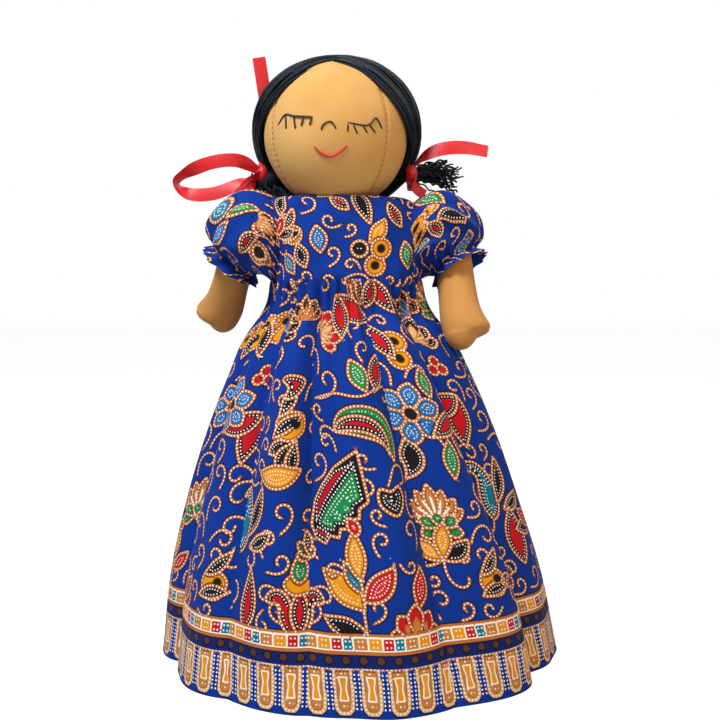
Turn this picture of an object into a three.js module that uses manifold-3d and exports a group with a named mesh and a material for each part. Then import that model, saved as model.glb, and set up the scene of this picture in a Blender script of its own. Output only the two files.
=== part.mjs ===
// A topsy-turvy cloth doll: two dolls joined at one waist, with a two-layer skirt that hides the lower one.
// Millimetres, +Z up, the origin on the floor under the middle of the hem, the faces towards -Y.
// Left and right are the doll's own.
import * as THREE from 'three';
import { mergeVertices } from 'three/addons/utils/BufferGeometryUtils.js';
import Module from 'manifold-3d';

const wasm = await Module();
wasm.setup();

// Cloth and fits
const CLOTH = 1;
const CLEARANCE = 0.3;

// Waist, where the two dolls meet, and its shift from the middle of the hem
const WAIST_HEIGHT = 189;
const WAIST_SHIFT = -7;
const TORSO_WAIST_RADIUS = 25;

// Skirt: outer radii, folds and the strip in the hem
const SKIRT_WAIST_RADIUS = 33;
const SKIRT_HEM_RADIUS = 101.5;
// Creases between the skirt's folds: degrees from the front at the hem and at the waist, then how deep they are
// near the waist, half way down and at the hem
const CREASES = [
  [-165, -160, 4, 9, 6],
  [-131, -133, 4, 9, 4],
  [-104, -110, 3, 7, 6],
  [-73, -72, 4, 8, 9],
  [-38, -48, 5, 9, 4],
  [-13, -22, 6, 13, 3],
  [26, 12, 5, 11, 4],
  [61, 40, 7, 14, 9],
  [102, 106, 3, 8, 4],
  [128, 126, 4, 9, 6],
  [160, 158, 4, 9, 4],
];
const FOLD_LEAN = 0.28;
const FOLD_ROUND = 2.2;
const HEM_STRIP_HEIGHT = 12;
const HEM_STRIP_RISE = 1.5;
const LINING_RISE = 2;
const WAIST_CORD_HEIGHT = 4;

// Head and neck
const HEAD_WIDTH = 72;
const HEAD_DEPTH = 66;
const HEAD_HEIGHT = 71;
const NECK_RADIUS = 13;
const NECK_SINK = 7;
const NECK_GAP = 0.8;
const HEAD_SEGMENTS = 16;

// Embroidery, in the plane of the face
const THREAD_RADIUS = 0.5;
const THREAD_SIDES = 3;
const EYE_WIDTH = 17;
const EYE_SPACING = 33;
const EYE_RISE = 4;
const LASH_LENGTH = 4.6;
const LASH_COUNT = 5;
const NOSE_WIDTH = 7;
const NOSE_HEIGHT = 3.6;
const MOUTH_WIDTH = 15.5;
const MOUTH_DEPTH = 4.8;
const MOUTH_DROP = 8.5;
const FACE_SHIFT = -2;
const FACE_TILT = 6.5;

// Ties of the hair, as degrees behind and below the doll's side, and the satin ribbons
const TIE_BACK = 18;
const TIE_DROP = 26;
const TIE_LIFT = 2.2;
const TIE_RADIUS = 4.2;
const PIGTAIL_LENGTH = 22;
const PIGTAIL_SEGMENTS = 10;
const RIBBON_WIDTH = 7;
const RIBBON_THICKNESS = 0.8;
const KNOT_RADIUS = 2.6;
const LONG_TAIL = 39;
const BOW_LOOP = 42;
const RAISED_TAIL = 60;
const SHORT_TAIL = 10;

// Arm, from its hinge to the tip of the hand
const ARM_LENGTH = 56;
const ARM_RADIUS = 9;
const HAND_RADIUS = 10;
const THUMB_LENGTH = 14;
const THUMB_RADIUS = 4.6;
const THUMB_LEAN = 22;
const RUFFLE_LENGTH = 6;
const ELASTIC_WIDTH = 4;
const ELASTIC_THICKNESS = 1.2;
const ARM_SEGMENTS = 10;
const SLEEVE_SEGMENTS = 14;

// What differs between the two dolls. Heights are from the waist towards that doll's own head.
// The first of a pair is for the left arm, swing is forward and splay is outward, in degrees.
const UPPER = {
  name: 'upper',
  torso: 37.5,
  headShift: -5,
  shoulder: 18,
  chest: 31,
  chestDepth: 22,
  armhole: 15.5,
  collar: 38,
  hinge: 53,
  puff: 23,
  cuff: 13.5,
  limb: 1,
  ruffle: 4.5,
  swing: [24, -35],
  splay: [5, 16],
  hairSide: 7.5,
  hairTop: 4.5,
  hairBack: 5,
  hairFront: 8,
  hairDrop: 25,
  tied: true,
  bodiceGap: 0,
  // Rings of the loose bodice: share of the way to the neck, half width and half depth
  bodiceRings: [[0, 35, 29.5], [0.24, 36.5, 29], [0.5, 36.5, 27], [0.76, 35.2, 24.5], [0.9, 30, 21.5]],
  shoulderSeam: 1,
  dress: 0x1f3fb0,
  hair: 0x14161a,
  skin: 0xd9a860,
};
const LOWER = {
  name: 'lower',
  torso: 48,
  headShift: -1.5,
  shoulder: 30,
  chest: 15.5,
  chestDepth: 16,
  armhole: 11,
  collar: 22.5,
  hinge: 31.5,
  puff: 12.8,
  cuff: 15.8,
  limb: 0.72,
  ruffle: 0.8,
  swing: [180, 180],
  splay: [12.5, 12.5],
  hairSide: 4,
  hairTop: 3.5,
  hairBack: 4,
  hairFront: 6,
  hairDrop: 12,
  tied: false,
  bodiceGap: 5,
  bodiceRings: [[0, 27.3, 27.3], [0.607, 17.8, 18.3], [0.85, 16.8, 17]],
  shoulderSeam: 0,
  dress: 0xb3272d,
  hair: 0x4a2a18,
  skin: 0x8a5a36,
};

// Colours that both dolls share
const WADDING = 0xf2eee2;
const BLACK_THREAD = 0x17161a;
const RED_THREAD = 0xc8282c;
const RED_SATIN = 0xd8151f;
const ELASTIC = 0xe9e6dc;
const CORD = 0xd8cdb4;

const HEAD_X = HEAD_WIDTH / 2;
const HEAD_Y = HEAD_DEPTH / 2;
const HEAD_Z = HEAD_HEIGHT / 2;
const LINING_INSET = 2 * CLOTH + 2 * CLEARANCE;
const radians = THREE.MathUtils.degToRad;
const vector = (x, y, z) => new THREE.Vector3(x, y, z);

// Closed surfaces built from rings of points. A ring of one point closes an end.
class Skin {
  constructor() {
    this.points = [];
    this.index = [];
  }

  addRing(ring) {
    const first = this.points.length;
    this.points.push(...ring);
    return { first, count: ring.length };
  }

  triangle(a, b, c, inward) {
    this.index.push(a, inward ? c : b, inward ? b : c);
  }

  band(a, b, inward = false) {
    const count = Math.max(a.count, b.count);
    for (let j = 0; j < count; j += 1) {
      const k = (j + 1) % count;
      if (a.count > 1) {
        this.triangle(a.first + j, a.first + k, b.first + (b.count > 1 ? k : 0), inward);
      }
      if (b.count > 1) {
        this.triangle(a.first + (a.count > 1 ? j : 0), b.first + k, b.first + j, inward);
      }
    }
  }

  geometry() {
    let volume = 0;
    for (let i = 0; i < this.index.length; i += 3) {
      const [a, b, c] = this.index.slice(i, i + 3).map((corner) => this.points[corner]);
      volume += a.dot(b.clone().cross(c));
    }
    const index = volume < 0 ? this.index.toReversed() : this.index;
    const geometry = new THREE.BufferGeometry();
    const positions = this.points.flatMap((point) => point.toArray());
    geometry.setAttribute('position', new THREE.Float32BufferAttribute(positions, 3));
    geometry.setIndex(index);
    return geometry;
  }
}

// A solid through rings; its first and last ring are single points.
function loft(rings) {
  const skin = new Skin();
  const added = rings.map((ring) => skin.addRing(ring));
  for (let i = 0; i + 1 < added.length; i += 1) {
    skin.band(added[i], added[i + 1]);
  }
  return skin.geometry();
}

// A wall between outer and inner rings, open at an end unless its last rings are single points.
function shell(outer, inner) {
  const skin = new Skin();
  const outside = outer.map((ring) => skin.addRing(ring));
  const inside = inner.map((ring) => skin.addRing(ring));
  const last = outer.length - 1;
  for (let i = 0; i < last; i += 1) {
    skin.band(outside[i], outside[i + 1]);
    skin.band(inside[i], inside[i + 1], true);
  }
  skin.band(inside[0], outside[0]);
  if (outer[last].length > 1) {
    skin.band(outside[last], inside[last]);
  }
  return skin.geometry();
}

// An ellipse of points round a centre, with half axes along two directions.
function ellipse(centre, along, across, a, b, count) {
  return Array.from({ length: count }, (_, i) => {
    const angle = (2 * Math.PI * i) / count;
    const point = centre.clone().addScaledVector(along, a * Math.cos(angle));
    return point.addScaledVector(across, b * Math.sin(angle));
  });
}

const AXIS_X = vector(1, 0, 0);
const AXIS_Y = vector(0, 1, 0);

function levelEllipse(x, z, a, b, count) {
  return ellipse(vector(x, 0, z), AXIS_X, AXIS_Y, a, b, count);
}

// Boolean joins and cuts
function manifold(geometry) {
  const bare = geometry.clone();
  bare.deleteAttribute('normal');
  bare.deleteAttribute('uv');
  const merged = mergeVertices(bare, 1e-4);
  return new wasm.Manifold(new wasm.Mesh({
    numProp: 3,
    vertProperties: new Float32Array(merged.attributes.position.array),
    triVerts: new Uint32Array(merged.index.array),
  }));
}

function fromManifold(solid) {
  const mesh = solid.getMesh();
  const geometry = new THREE.BufferGeometry();
  geometry.setAttribute('position', new THREE.Float32BufferAttribute(mesh.vertProperties, 3));
  geometry.setIndex(Array.from(mesh.triVerts));
  return geometry;
}

const join = (first, ...rest) => rest.reduce((sum, geometry) => sum.add(manifold(geometry)), manifold(first));
const cut = (solid, ...tools) => tools.reduce((rest, tool) => rest.subtract(manifold(tool)), solid);

function cloth(name, geometry, color, roughness = 0.9) {
  geometry.computeVertexNormals();
  const material = new THREE.MeshStandardMaterial({ color, roughness, metalness: 0 });
  const mesh = new THREE.Mesh(geometry, material);
  mesh.name = name;
  return mesh;
}

// Skirt: a flared cone with folds between creases that start below the waist
const SKIRT_FLARE = new THREE.SplineCurve([
  new THREE.Vector2(0, 0),
  new THREE.Vector2(0.08, 0.07),
  new THREE.Vector2(0.21, 0.35),
  new THREE.Vector2(0.45, 0.63),
  new THREE.Vector2(0.75, 0.88),
  new THREE.Vector2(1, 1),
]);
const FLARE_STEPS = SKIRT_FLARE.getPoints(100);

function flare(t) {
  const next = FLARE_STEPS.findIndex((point) => point.x >= t);
  const above = FLARE_STEPS[Math.max(next, 1)];
  const below = FLARE_STEPS[Math.max(next, 1) - 1];
  return THREE.MathUtils.mapLinear(t, below.x, above.x, below.y, above.y);
}

// Places across a fold, from the crease before it (-1) towards the one after it (1)
const FOLD_PLACES = [-1, -0.62, -0.2, 0.26, 0.66];

function creaseAngle([hem, waist], t) {
  return radians(THREE.MathUtils.lerp(hem, waist, (1 - t) ** 1.5));
}

function creaseDepth([, , high, half, low], t) {
  const upper = THREE.MathUtils.lerp(high, half, THREE.MathUtils.smoothstep(t, 0, 0.45));
  const lower = THREE.MathUtils.lerp(half, low, THREE.MathUtils.smoothstep(t, 0.45, 1));
  return THREE.MathUtils.smoothstep(t, 0, 0.12) * (t < 0.45 ? upper : lower);
}

function skirtRing(height, inset) {
  const t = 1 - height / WAIST_HEIGHT;
  const radius = THREE.MathUtils.lerp(SKIRT_WAIST_RADIUS, SKIRT_HEM_RADIUS, flare(t));
  return CREASES.flatMap((crease, i) => {
    const before = CREASES.at(i - 1);
    const start = creaseAngle(before, t) - (i === 0 ? 2 * Math.PI : 0);
    return FOLD_PLACES.map((place) => {
      const share = (place + 1) / 2;
      const angle = THREE.MathUtils.lerp(start, creaseAngle(crease, t), share);
      const depth = THREE.MathUtils.lerp(creaseDepth(before, t), creaseDepth(crease, t), share);
      const fall = Math.abs(place + FOLD_LEAN * (place ** 2 - 1)) ** FOLD_ROUND;
      const reach = radius - depth * fall - inset;
      return vector(reach * Math.sin(angle) + WAIST_SHIFT * (1 - t), -reach * Math.cos(angle), height);
    });
  });
}

const hemBox = new THREE.Box3().setFromPoints(skirtRing(0, 0));
const hemCentre = hemBox.getCenter(vector(0, 0, 0));

// The hem's box is centred on the origin, and the shift fades out towards the waist.
function skirtLayer(heights, outerInset, innerInset) {
  const rings = (inset) => heights.map((height) => {
    const shift = hemCentre.clone().setZ(0).multiplyScalar(height / WAIST_HEIGHT - 1);
    return skirtRing(height, inset).map((point) => point.add(shift));
  });
  return shell(rings(outerInset), rings(innerInset));
}

const SKIRT_STEPS = [0.18, 0.38, 0.57, 0.7, 0.8, 0.88, 0.94];
const skirtSteps = SKIRT_STEPS.map((share) => share * WAIST_HEIGHT);
const skirtHeights = [HEM_STRIP_HEIGHT, ...skirtSteps, WAIST_HEIGHT];

function skirtPieces() {
  const group = new THREE.Group();
  const cordTop = WAIST_HEIGHT - CLEARANCE;
  const cordOuter = SKIRT_WAIST_RADIUS - LINING_INSET - CLOTH - CLEARANCE;
  const cordInner = TORSO_WAIST_RADIUS + CLEARANCE;
  const cordRings = (radius) => [cordTop - WAIST_CORD_HEIGHT, cordTop].map(
    (height) => levelEllipse(WAIST_SHIFT, height, radius, radius, HEAD_SEGMENTS),
  );
  group.add(
    cloth('outer_skirt', skirtLayer([0, ...skirtHeights], 0, CLOTH), UPPER.dress),
    cloth(
      'inner_skirt',
      skirtLayer([LINING_RISE, ...skirtHeights], LINING_INSET, LINING_INSET + CLOTH),
      LOWER.dress,
    ),
    cloth(
      'hem_strip',
      skirtLayer([HEM_STRIP_RISE, HEM_STRIP_HEIGHT], CLOTH + CLEARANCE, LINING_INSET - CLEARANCE),
      CORD,
    ),
    cloth('waist_cord', shell(cordRings(cordOuter), cordRings(cordInner)), CORD),
  );
  return group;
}

// Torso of one doll: centre, half width and half depth at heights from the waist to the neck
function torsoSections(doll) {
  const slope = doll.torso - doll.shoulder;
  return [
    { height: doll.shoulder, x: 0, a: doll.chest, b: doll.chestDepth },
    {
      height: doll.shoulder + slope * 0.55,
      x: doll.headShift * 0.6,
      a: (doll.chest + NECK_RADIUS) / 2,
      b: (doll.chestDepth + NECK_RADIUS) / 2,
    },
    { height: doll.torso - 2, x: doll.headShift, a: NECK_RADIUS, b: NECK_RADIUS },
    { height: doll.torso + NECK_SINK, x: doll.headShift, a: NECK_RADIUS, b: NECK_RADIUS },
  ];
}

// The torso runs from the lower doll's neck, through the waist, to the upper doll's neck.
function torsoRings(inset, shorten) {
  const upper = torsoSections(UPPER);
  const lower = torsoSections(LOWER).map(
    (section) => ({ ...section, height: -section.height, x: -section.x }),
  );
  const waist = { height: 0, x: 0, a: TORSO_WAIST_RADIUS, b: TORSO_WAIST_RADIUS };
  const sections = [...lower.toReversed(), waist, ...upper];
  sections[0] = { ...sections[0], height: sections[0].height + shorten };
  const top = sections.length - 1;
  sections[top] = { ...sections[top], height: sections[top].height - shorten };
  return sections.map(({ height, x, a, b }) => levelEllipse(x, height, a - inset, b - inset, HEAD_SEGMENTS));
}

function middle(ring) {
  const sum = ring.reduce((total, point) => total.add(point), vector(0, 0, 0));
  return sum.divideScalar(ring.length);
}

const capped = (rings) => [[middle(rings[0])], ...rings, [middle(rings[rings.length - 1])]];

function torsoPieces() {
  const group = new THREE.Group();
  group.position.set(WAIST_SHIFT, 0, WAIST_HEIGHT);
  group.add(
    cloth('torso_skin', shell(torsoRings(0, 0), torsoRings(CLOTH, 0)), UPPER.skin),
    cloth('torso_stuffing', loft(capped(torsoRings(CLOTH + CLEARANCE, CLOTH))), WADDING),
  );
  return group;
}

// Bodice: a loose top over the torso, with a round collar on each side that the sleeve turns against
function bodice(doll) {
  const start = doll.bodiceGap + CLEARANCE;
  const end = doll.torso - 2;
  const neck = NECK_RADIUS + CLEARANCE + 2 * CLOTH;
  const sections = (inset, drop) => [...doll.bodiceRings, [1, neck, neck]].map(([share, a, b]) => ({
    height: THREE.MathUtils.lerp(start, end, share) - (share > 0 && share < 1 ? drop : 0),
    x: doll.headShift * share ** 3,
    a: a - inset,
    b: b - inset,
  }));
  const rings = (inset, drop) => sections(inset, drop).map(
    ({ height, x, a, b }) => levelEllipse(x, height, a, b, HEAD_SEGMENTS),
  );
  const tube = (radius, reach) => new THREE.CylinderGeometry(radius, radius, 2 * reach, SLEEVE_SEGMENTS)
    .rotateZ(Math.PI / 2)
    .translate(0, 0, doll.shoulder);
  const inner = rings(2 * CLOTH, doll.shoulderSeam);
  const below = inner[0].map((point) => point.clone().setZ(point.z - CLOTH));
  const above = inner[inner.length - 1].map((point) => point.clone().setZ(point.z + CLOTH));
  const outside = join(loft(capped(rings(0, 0))), tube(doll.armhole, doll.collar));
  return fromManifold(cut(
    outside,
    loft(capped([below, ...inner, above])),
    tube(doll.armhole - CLOTH, doll.collar + CLOTH),
  ));
}

// Head
function headRing(angle, inset) {
  const spread = Math.sin(angle);
  const height = -Math.cos(angle) * (HEAD_Z - inset);
  return levelEllipse(0, height, (HEAD_X - inset) * spread, (HEAD_Y - inset) * spread, HEAD_SEGMENTS);
}

const HEAD_RINGS = 8;

function headRings(inset) {
  const opening = Math.asin((NECK_RADIUS + NECK_GAP) / HEAD_Y);
  const rings = Array.from({ length: HEAD_RINGS }, (_, i) => (
    headRing(THREE.MathUtils.lerp(opening, Math.PI, i / HEAD_RINGS), inset)
  ));
  return [...rings, [vector(0, 0, HEAD_Z - inset)]];
}

function headSkin() {
  return shell(headRings(0), headRings(CLOTH));
}

// The wadding ends in a flat floor just above the neck.
function headStuffing() {
  const rings = headRings(CLOTH + CLEARANCE);
  const floor = NECK_SINK + CLEARANCE - HEAD_Z;
  const share = THREE.MathUtils.inverseLerp(rings[0][0].z, rings[1][0].z, floor);
  rings[0] = rings[0].map((point, i) => point.clone().lerp(rings[1][i], share));
  return loft([[middle(rings[0])], ...rings]);
}

function ellipsoid(a, b, c) {
  return new THREE.SphereGeometry(1, 18, 12).rotateX(Math.PI / 2).scale(a, b, c);
}

const hairAxes = (doll) => [HEAD_X + doll.hairSide, HEAD_Y + doll.hairBack, HEAD_Z + doll.hairTop];

// The tie of a pigtail stands a little off the hair's surface.
function tiePlace(doll, side) {
  const [a, b, c] = hairAxes(doll);
  const back = radians(TIE_BACK);
  const drop = radians(TIE_DROP);
  const level = Math.cos(drop);
  const aim = vector(side * Math.cos(back) * level, Math.sin(back) * level, -Math.sin(drop));
  const surface = aim.clone().divideScalar(vector(aim.x / a, aim.y / b, aim.z / c).length());
  const normal = vector(surface.x / a ** 2, surface.y / b ** 2, surface.z / c ** 2).normalize();
  return surface.addScaledVector(normal, TIE_LIFT);
}

const knotInner = TIE_RADIUS + CLEARANCE;
const knotOuter = knotInner + 2 * RIBBON_THICKNESS;

function hairDent(doll, side) {
  const place = tiePlace(doll, side);
  const radius = Math.hypot(knotOuter, RIBBON_WIDTH / 5) + CLEARANCE;
  return new THREE.SphereGeometry(radius, 12, 8).translate(place.x, place.y, place.z);
}

// One half of the hair: a hank laid over the head from the parting, drawn in at the tie
function hairHalf(doll, side) {
  const [a, b, c] = hairAxes(doll);
  const box = (x, y, z) => new THREE.BoxGeometry(4 * a, 4 * b, 4 * c).translate(x, y, z);
  const scalpRings = headRings(-CLEARANCE);
  const scalp = loft([[middle(scalpRings[0])], ...scalpRings]);
  return fromManifold(cut(
    manifold(ellipsoid(a, b, c)),
    scalp,
    box(side * (CLEARANCE / 2 - 2 * a), 0, 0),
    box(0, -2 * b - doll.hairFront, 0),
    box(0, 0, -2 * c - doll.hairDrop),
    ...(doll.tied ? [hairDent(doll, side)] : []),
  ));
}

// Embroidery: a thread along points of the face's plane, laid on the curve of the head
function onFace(x, z) {
  const tilt = radians(FACE_TILT);
  const faceX = FACE_SHIFT + x * Math.cos(tilt) + z * Math.sin(tilt);
  const faceZ = z * Math.cos(tilt) - x * Math.sin(tilt);
  const lift = THREAD_RADIUS + CLEARANCE;
  const depth = Math.sqrt(1 - (faceX / HEAD_X) ** 2 - (faceZ / HEAD_Z) ** 2);
  const point = vector(faceX, -HEAD_Y * depth, faceZ);
  const normal = vector(faceX / HEAD_X ** 2, -depth / HEAD_Y, faceZ / HEAD_Z ** 2).normalize();
  return { point: point.addScaledVector(normal, lift), normal };
}

function thread(path) {
  const places = path.map(([x, z]) => onFace(x, z));
  const rings = places.map(({ point, normal }, i) => {
    const before = places[Math.max(i - 1, 0)].point;
    const after = places[Math.min(i + 1, places.length - 1)].point;
    const across = after.clone().sub(before).normalize().cross(normal).normalize();
    return ellipse(point, across, normal, THREAD_RADIUS, THREAD_RADIUS, THREAD_SIDES);
  });
  return loft(capped(rings));
}

// Points along an arch, from x = -width/2 to width/2, that rises by height in the middle
function arch(centreX, centreZ, width, height, steps) {
  return Array.from({ length: steps + 1 }, (_, i) => {
    const share = (2 * i) / steps - 1;
    return [centreX + (share * width) / 2, centreZ + height * (1 - share * share)];
  });
}

// A closed eye: the line of the lid, a little hooked at its outer end, and its lashes
function eye(side) {
  const centre = (side * EYE_SPACING) / 2;
  const lid = arch(centre, EYE_RISE, EYE_WIDTH, 0.8, 6);
  const outer = side > 0 ? lid.length - 1 : 0;
  lid[outer][1] -= LASH_LENGTH / 2;
  const lashes = Array.from({ length: LASH_COUNT }, (_, i) => {
    const x = centre + ((i + 0.5) / LASH_COUNT - 0.5) * EYE_WIDTH * 0.86;
    return thread([[x, EYE_RISE + 0.8], [x + side * 0.4, EYE_RISE - LASH_LENGTH]]);
  });
  return fromManifold(join(thread(lid), ...lashes));
}

// Pigtail: a round root that turns in the ribbon's knot, then a hank that swells and frays to a blunt end
function pigtail(direction) {
  const along = direction.clone().normalize();
  const across = along.clone().cross(AXIS_Y).normalize();
  const up = across.clone().cross(along);
  const stations = [
    [-0.14, 0.55],
    [0, 0.93],
    [0.14, 0.6],
    [0.35, 1.35],
    [0.65, 1.75],
    [0.9, 1.5],
    [1, 0.9],
  ];
  const rings = stations.map(([share, swell]) => {
    const centre = along.clone().multiplyScalar(share * PIGTAIL_LENGTH);
    return ellipse(centre, across, up, swell * TIE_RADIUS, swell * TIE_RADIUS, PIGTAIL_SEGMENTS);
  });
  return loft(capped(rings));
}

// A flat ribbon through points; its width lies along one direction
function ribbonStrip(path, widthDirection) {
  const half = widthDirection.clone().normalize().multiplyScalar(RIBBON_WIDTH / 2);
  const rings = path.map((point, i) => {
    const before = path[Math.max(i - 1, 0)];
    const after = path[Math.min(i + 1, path.length - 1)];
    const face = after.clone().sub(before).cross(half).normalize().multiplyScalar(RIBBON_THICKNESS / 2);
    return [[1, 1], [-1, 1], [-1, -1], [1, -1]].map(([edge, side]) => (
      point.clone().addScaledVector(half, edge).addScaledVector(face, side)
    ));
  });
  return loft(capped(rings));
}

const curveThrough = (points, steps) => new THREE.CatmullRomCurve3(
  points.map(([x, y, z]) => vector(x, y, z)),
).getPoints(steps);

// The two ties: the pigtail's direction and the ribbon's strips, as points from the front of the knot,
// in shares of the strip's length
const STRIP_FACING = vector(0, 0.35, 1);
const TAIL_FACING = vector(1, 0, 0.1);
const LEFT_TIE = {
  side: 1,
  word: 'left',
  pigtail: vector(0.94, 0.34, -0.05),
  strips: [
    {
      length: LONG_TAIL,
      path: [
        [0, 0, 0], [0.1, -0.03, 0.15], [0.36, -0.08, 0.31], [0.67, -0.08, 0.31], [1, -0.08, 0.26],
      ],
      facing: STRIP_FACING,
      steps: 6,
    },
    {
      length: SHORT_TAIL,
      path: [[0, 0, 0], [0.1, 0.2, -0.5], [-0.1, 0.3, -0.9]],
      facing: TAIL_FACING,
      steps: 3,
    },
  ],
};
const RIGHT_TIE = {
  side: -1,
  word: 'right',
  pigtail: vector(-0.7, 0.55, -0.45),
  strips: [
    {
      length: BOW_LOOP,
      path: [
        [0, 0, 0], [-0.357, -0.071, 0.167], [-0.762, -0.095, 0.095], [-1, -0.095, -0.071],
        [-0.762, -0.095, -0.214], [-0.333, -0.071, -0.119], [0, 0, -0.024],
      ],
      facing: STRIP_FACING,
      steps: 10,
    },
    {
      length: RAISED_TAIL,
      path: [[0, 0, 0], [-0.03, 0.07, 0.1], [-0.05, 0.17, 0.23], [0, 0.25, 0.43], [0.05, 0.27, 1]],
      facing: TAIL_FACING,
      steps: 5,
    },
    {
      length: SHORT_TAIL,
      path: [[0, 0, 0], [-0.5, -0.3, -0.4], [-0.9, -0.4, -0.7]],
      facing: TAIL_FACING,
      steps: 3,
    },
  ],
};

// A ribbon: a ring round the root of the pigtail, a knot in front of it, and the strips of the bow
function ribbon(tie) {
  const along = tie.pigtail.clone().normalize();
  const across = along.clone().cross(AXIS_Y).normalize();
  const up = across.clone().cross(along);
  const ring = (radius) => [-RIBBON_WIDTH / 5, RIBBON_WIDTH / 5].map((place) => (
    ellipse(along.clone().multiplyScalar(place), across, up, radius, radius, 14)
  ));
  const front = up.clone().multiplyScalar(-Math.sign(up.y) * (knotInner + CLEARANCE + KNOT_RADIUS));
  const bead = new THREE.SphereGeometry(KNOT_RADIUS, 8, 6).translate(front.x, front.y, front.z);
  const strips = tie.strips.map(({ length, path, facing, steps }) => (
    ribbonStrip(curveThrough(path, steps).map((point) => point.multiplyScalar(length).add(front)), facing)
  ));
  return fromManifold(join(shell(ring(knotOuter), ring(knotInner)), bead, ...strips));
}

function tiePieces(doll, tie) {
  const group = new THREE.Group();
  group.position.copy(tiePlace(doll, tie.side));
  group.add(
    cloth(`${doll.name}_pigtail_${tie.word}`, pigtail(tie.pigtail), doll.hair),
    cloth(`${doll.name}_ribbon_${tie.word}`, ribbon(tie), RED_SATIN, 0.45),
  );
  return group;
}

function headPieces(doll) {
  const head = new THREE.Group();
  head.position.set(doll.headShift, 0, doll.torso + HEAD_Z);
  head.add(
    cloth(`${doll.name}_head_skin`, headSkin(), doll.skin),
    cloth(`${doll.name}_head_stuffing`, headStuffing(), WADDING),
    cloth(`${doll.name}_nose`, thread(arch(0, -NOSE_HEIGHT / 2, NOSE_WIDTH, NOSE_HEIGHT, 6)), BLACK_THREAD),
    cloth(`${doll.name}_mouth`, thread(arch(0, -MOUTH_DROP, MOUTH_WIDTH, -MOUTH_DEPTH, 8)), RED_THREAD),
  );
  for (const side of [1, -1]) {
    const word = side > 0 ? 'left' : 'right';
    head.add(
      cloth(`${doll.name}_hair_${word}`, hairHalf(doll, side), doll.hair),
      cloth(`${doll.name}_eye_${word}`, eye(side), BLACK_THREAD),
    );
  }
  if (doll.tied) {
    head.add(tiePieces(doll, LEFT_TIE), tiePieces(doll, RIGHT_TIE));
  }
  return head;
}

// The way an arm hangs from its hinge, and the sizes of one doll's arm
const hang = (side, splay) => vector(side * Math.sin(splay), 0, -Math.cos(splay));

function armSizes(doll) {
  return {
    length: ARM_LENGTH * doll.limb,
    radius: ARM_RADIUS * doll.limb,
    hand: HAND_RADIUS * doll.limb,
    cuff: doll.cuff,
  };
}

// Arm: a round shoulder on the axis of its hinge, a bend, then a limb that swells to a mitten hand
function armRings(doll, side, splay, inset, start) {
  const { length, radius, hand } = armSizes(doll);
  const down = hang(side, splay);
  const out = vector(side, 0, 0);
  const shoulder = [[start, 0.9], [-radius, 0.95]].map(([x, swell]) => ({
    centre: out.clone().multiplyScalar(x),
    normal: out,
    girth: radius * swell,
  }));
  const bend = {
    centre: down.clone().sub(out).multiplyScalar(radius / 6),
    normal: down.clone().add(out),
    girth: radius * 1.05,
  };
  const limb = [
    [0.16, radius],
    [0.38, radius],
    [0.6, radius],
    [0.74, hand],
    [0.87, hand * 0.92],
    [0.96, hand * 0.6],
  ].map(([share, girth]) => ({ centre: down.clone().multiplyScalar(share * length), normal: down, girth }));
  const rings = [...shoulder, bend, ...limb].map(({ centre, normal, girth }) => {
    const across = normal.clone().normalize().cross(AXIS_Y);
    return ellipse(centre, across, AXIS_Y, girth - inset, girth - inset, ARM_SEGMENTS);
  });
  return [...rings, [down.clone().multiplyScalar(length - inset)]];
}

function thumb(doll, side, splay) {
  const { length, hand } = armSizes(doll);
  const root = hang(side, splay).multiplyScalar(length * 0.74);
  return new THREE.SphereGeometry(1, 8, 6)
    .rotateX(Math.PI / 2)
    .scale(THUMB_RADIUS * doll.limb, THUMB_RADIUS * doll.limb, (THUMB_LENGTH / 2) * doll.limb)
    .rotateY(-side * (splay + radians(THUMB_LEAN)))
    .translate(root.x + side * hand * 0.78, 0, root.z);
}

// Where the arm's shoulder meets the side of the torso, from the hinge
function armStart(doll) {
  const { radius } = armSizes(doll);
  const lowest = THREE.MathUtils.lerp(doll.chest, TORSO_WAIST_RADIUS, radius / doll.shoulder);
  return Math.max(doll.chest, lowest) + CLEARANCE - doll.hinge;
}

function armSkin(doll, side, splay) {
  const start = armStart(doll);
  const outer = armRings(doll, side, splay, 0, start);
  const inner = armRings(doll, side, splay, CLOTH, start - CLOTH);
  const outside = join(loft([[middle(outer[0])], ...outer]), thumb(doll, side, splay));
  return fromManifold(cut(outside, loft([[middle(inner[0])], ...inner])));
}

function armStuffing(doll, side, splay) {
  const start = armStart(doll) + CLEARANCE;
  const rings = armRings(doll, side, splay, CLOTH + CLEARANCE, start);
  return loft([[middle(rings[0])], ...rings]);
}

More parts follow.
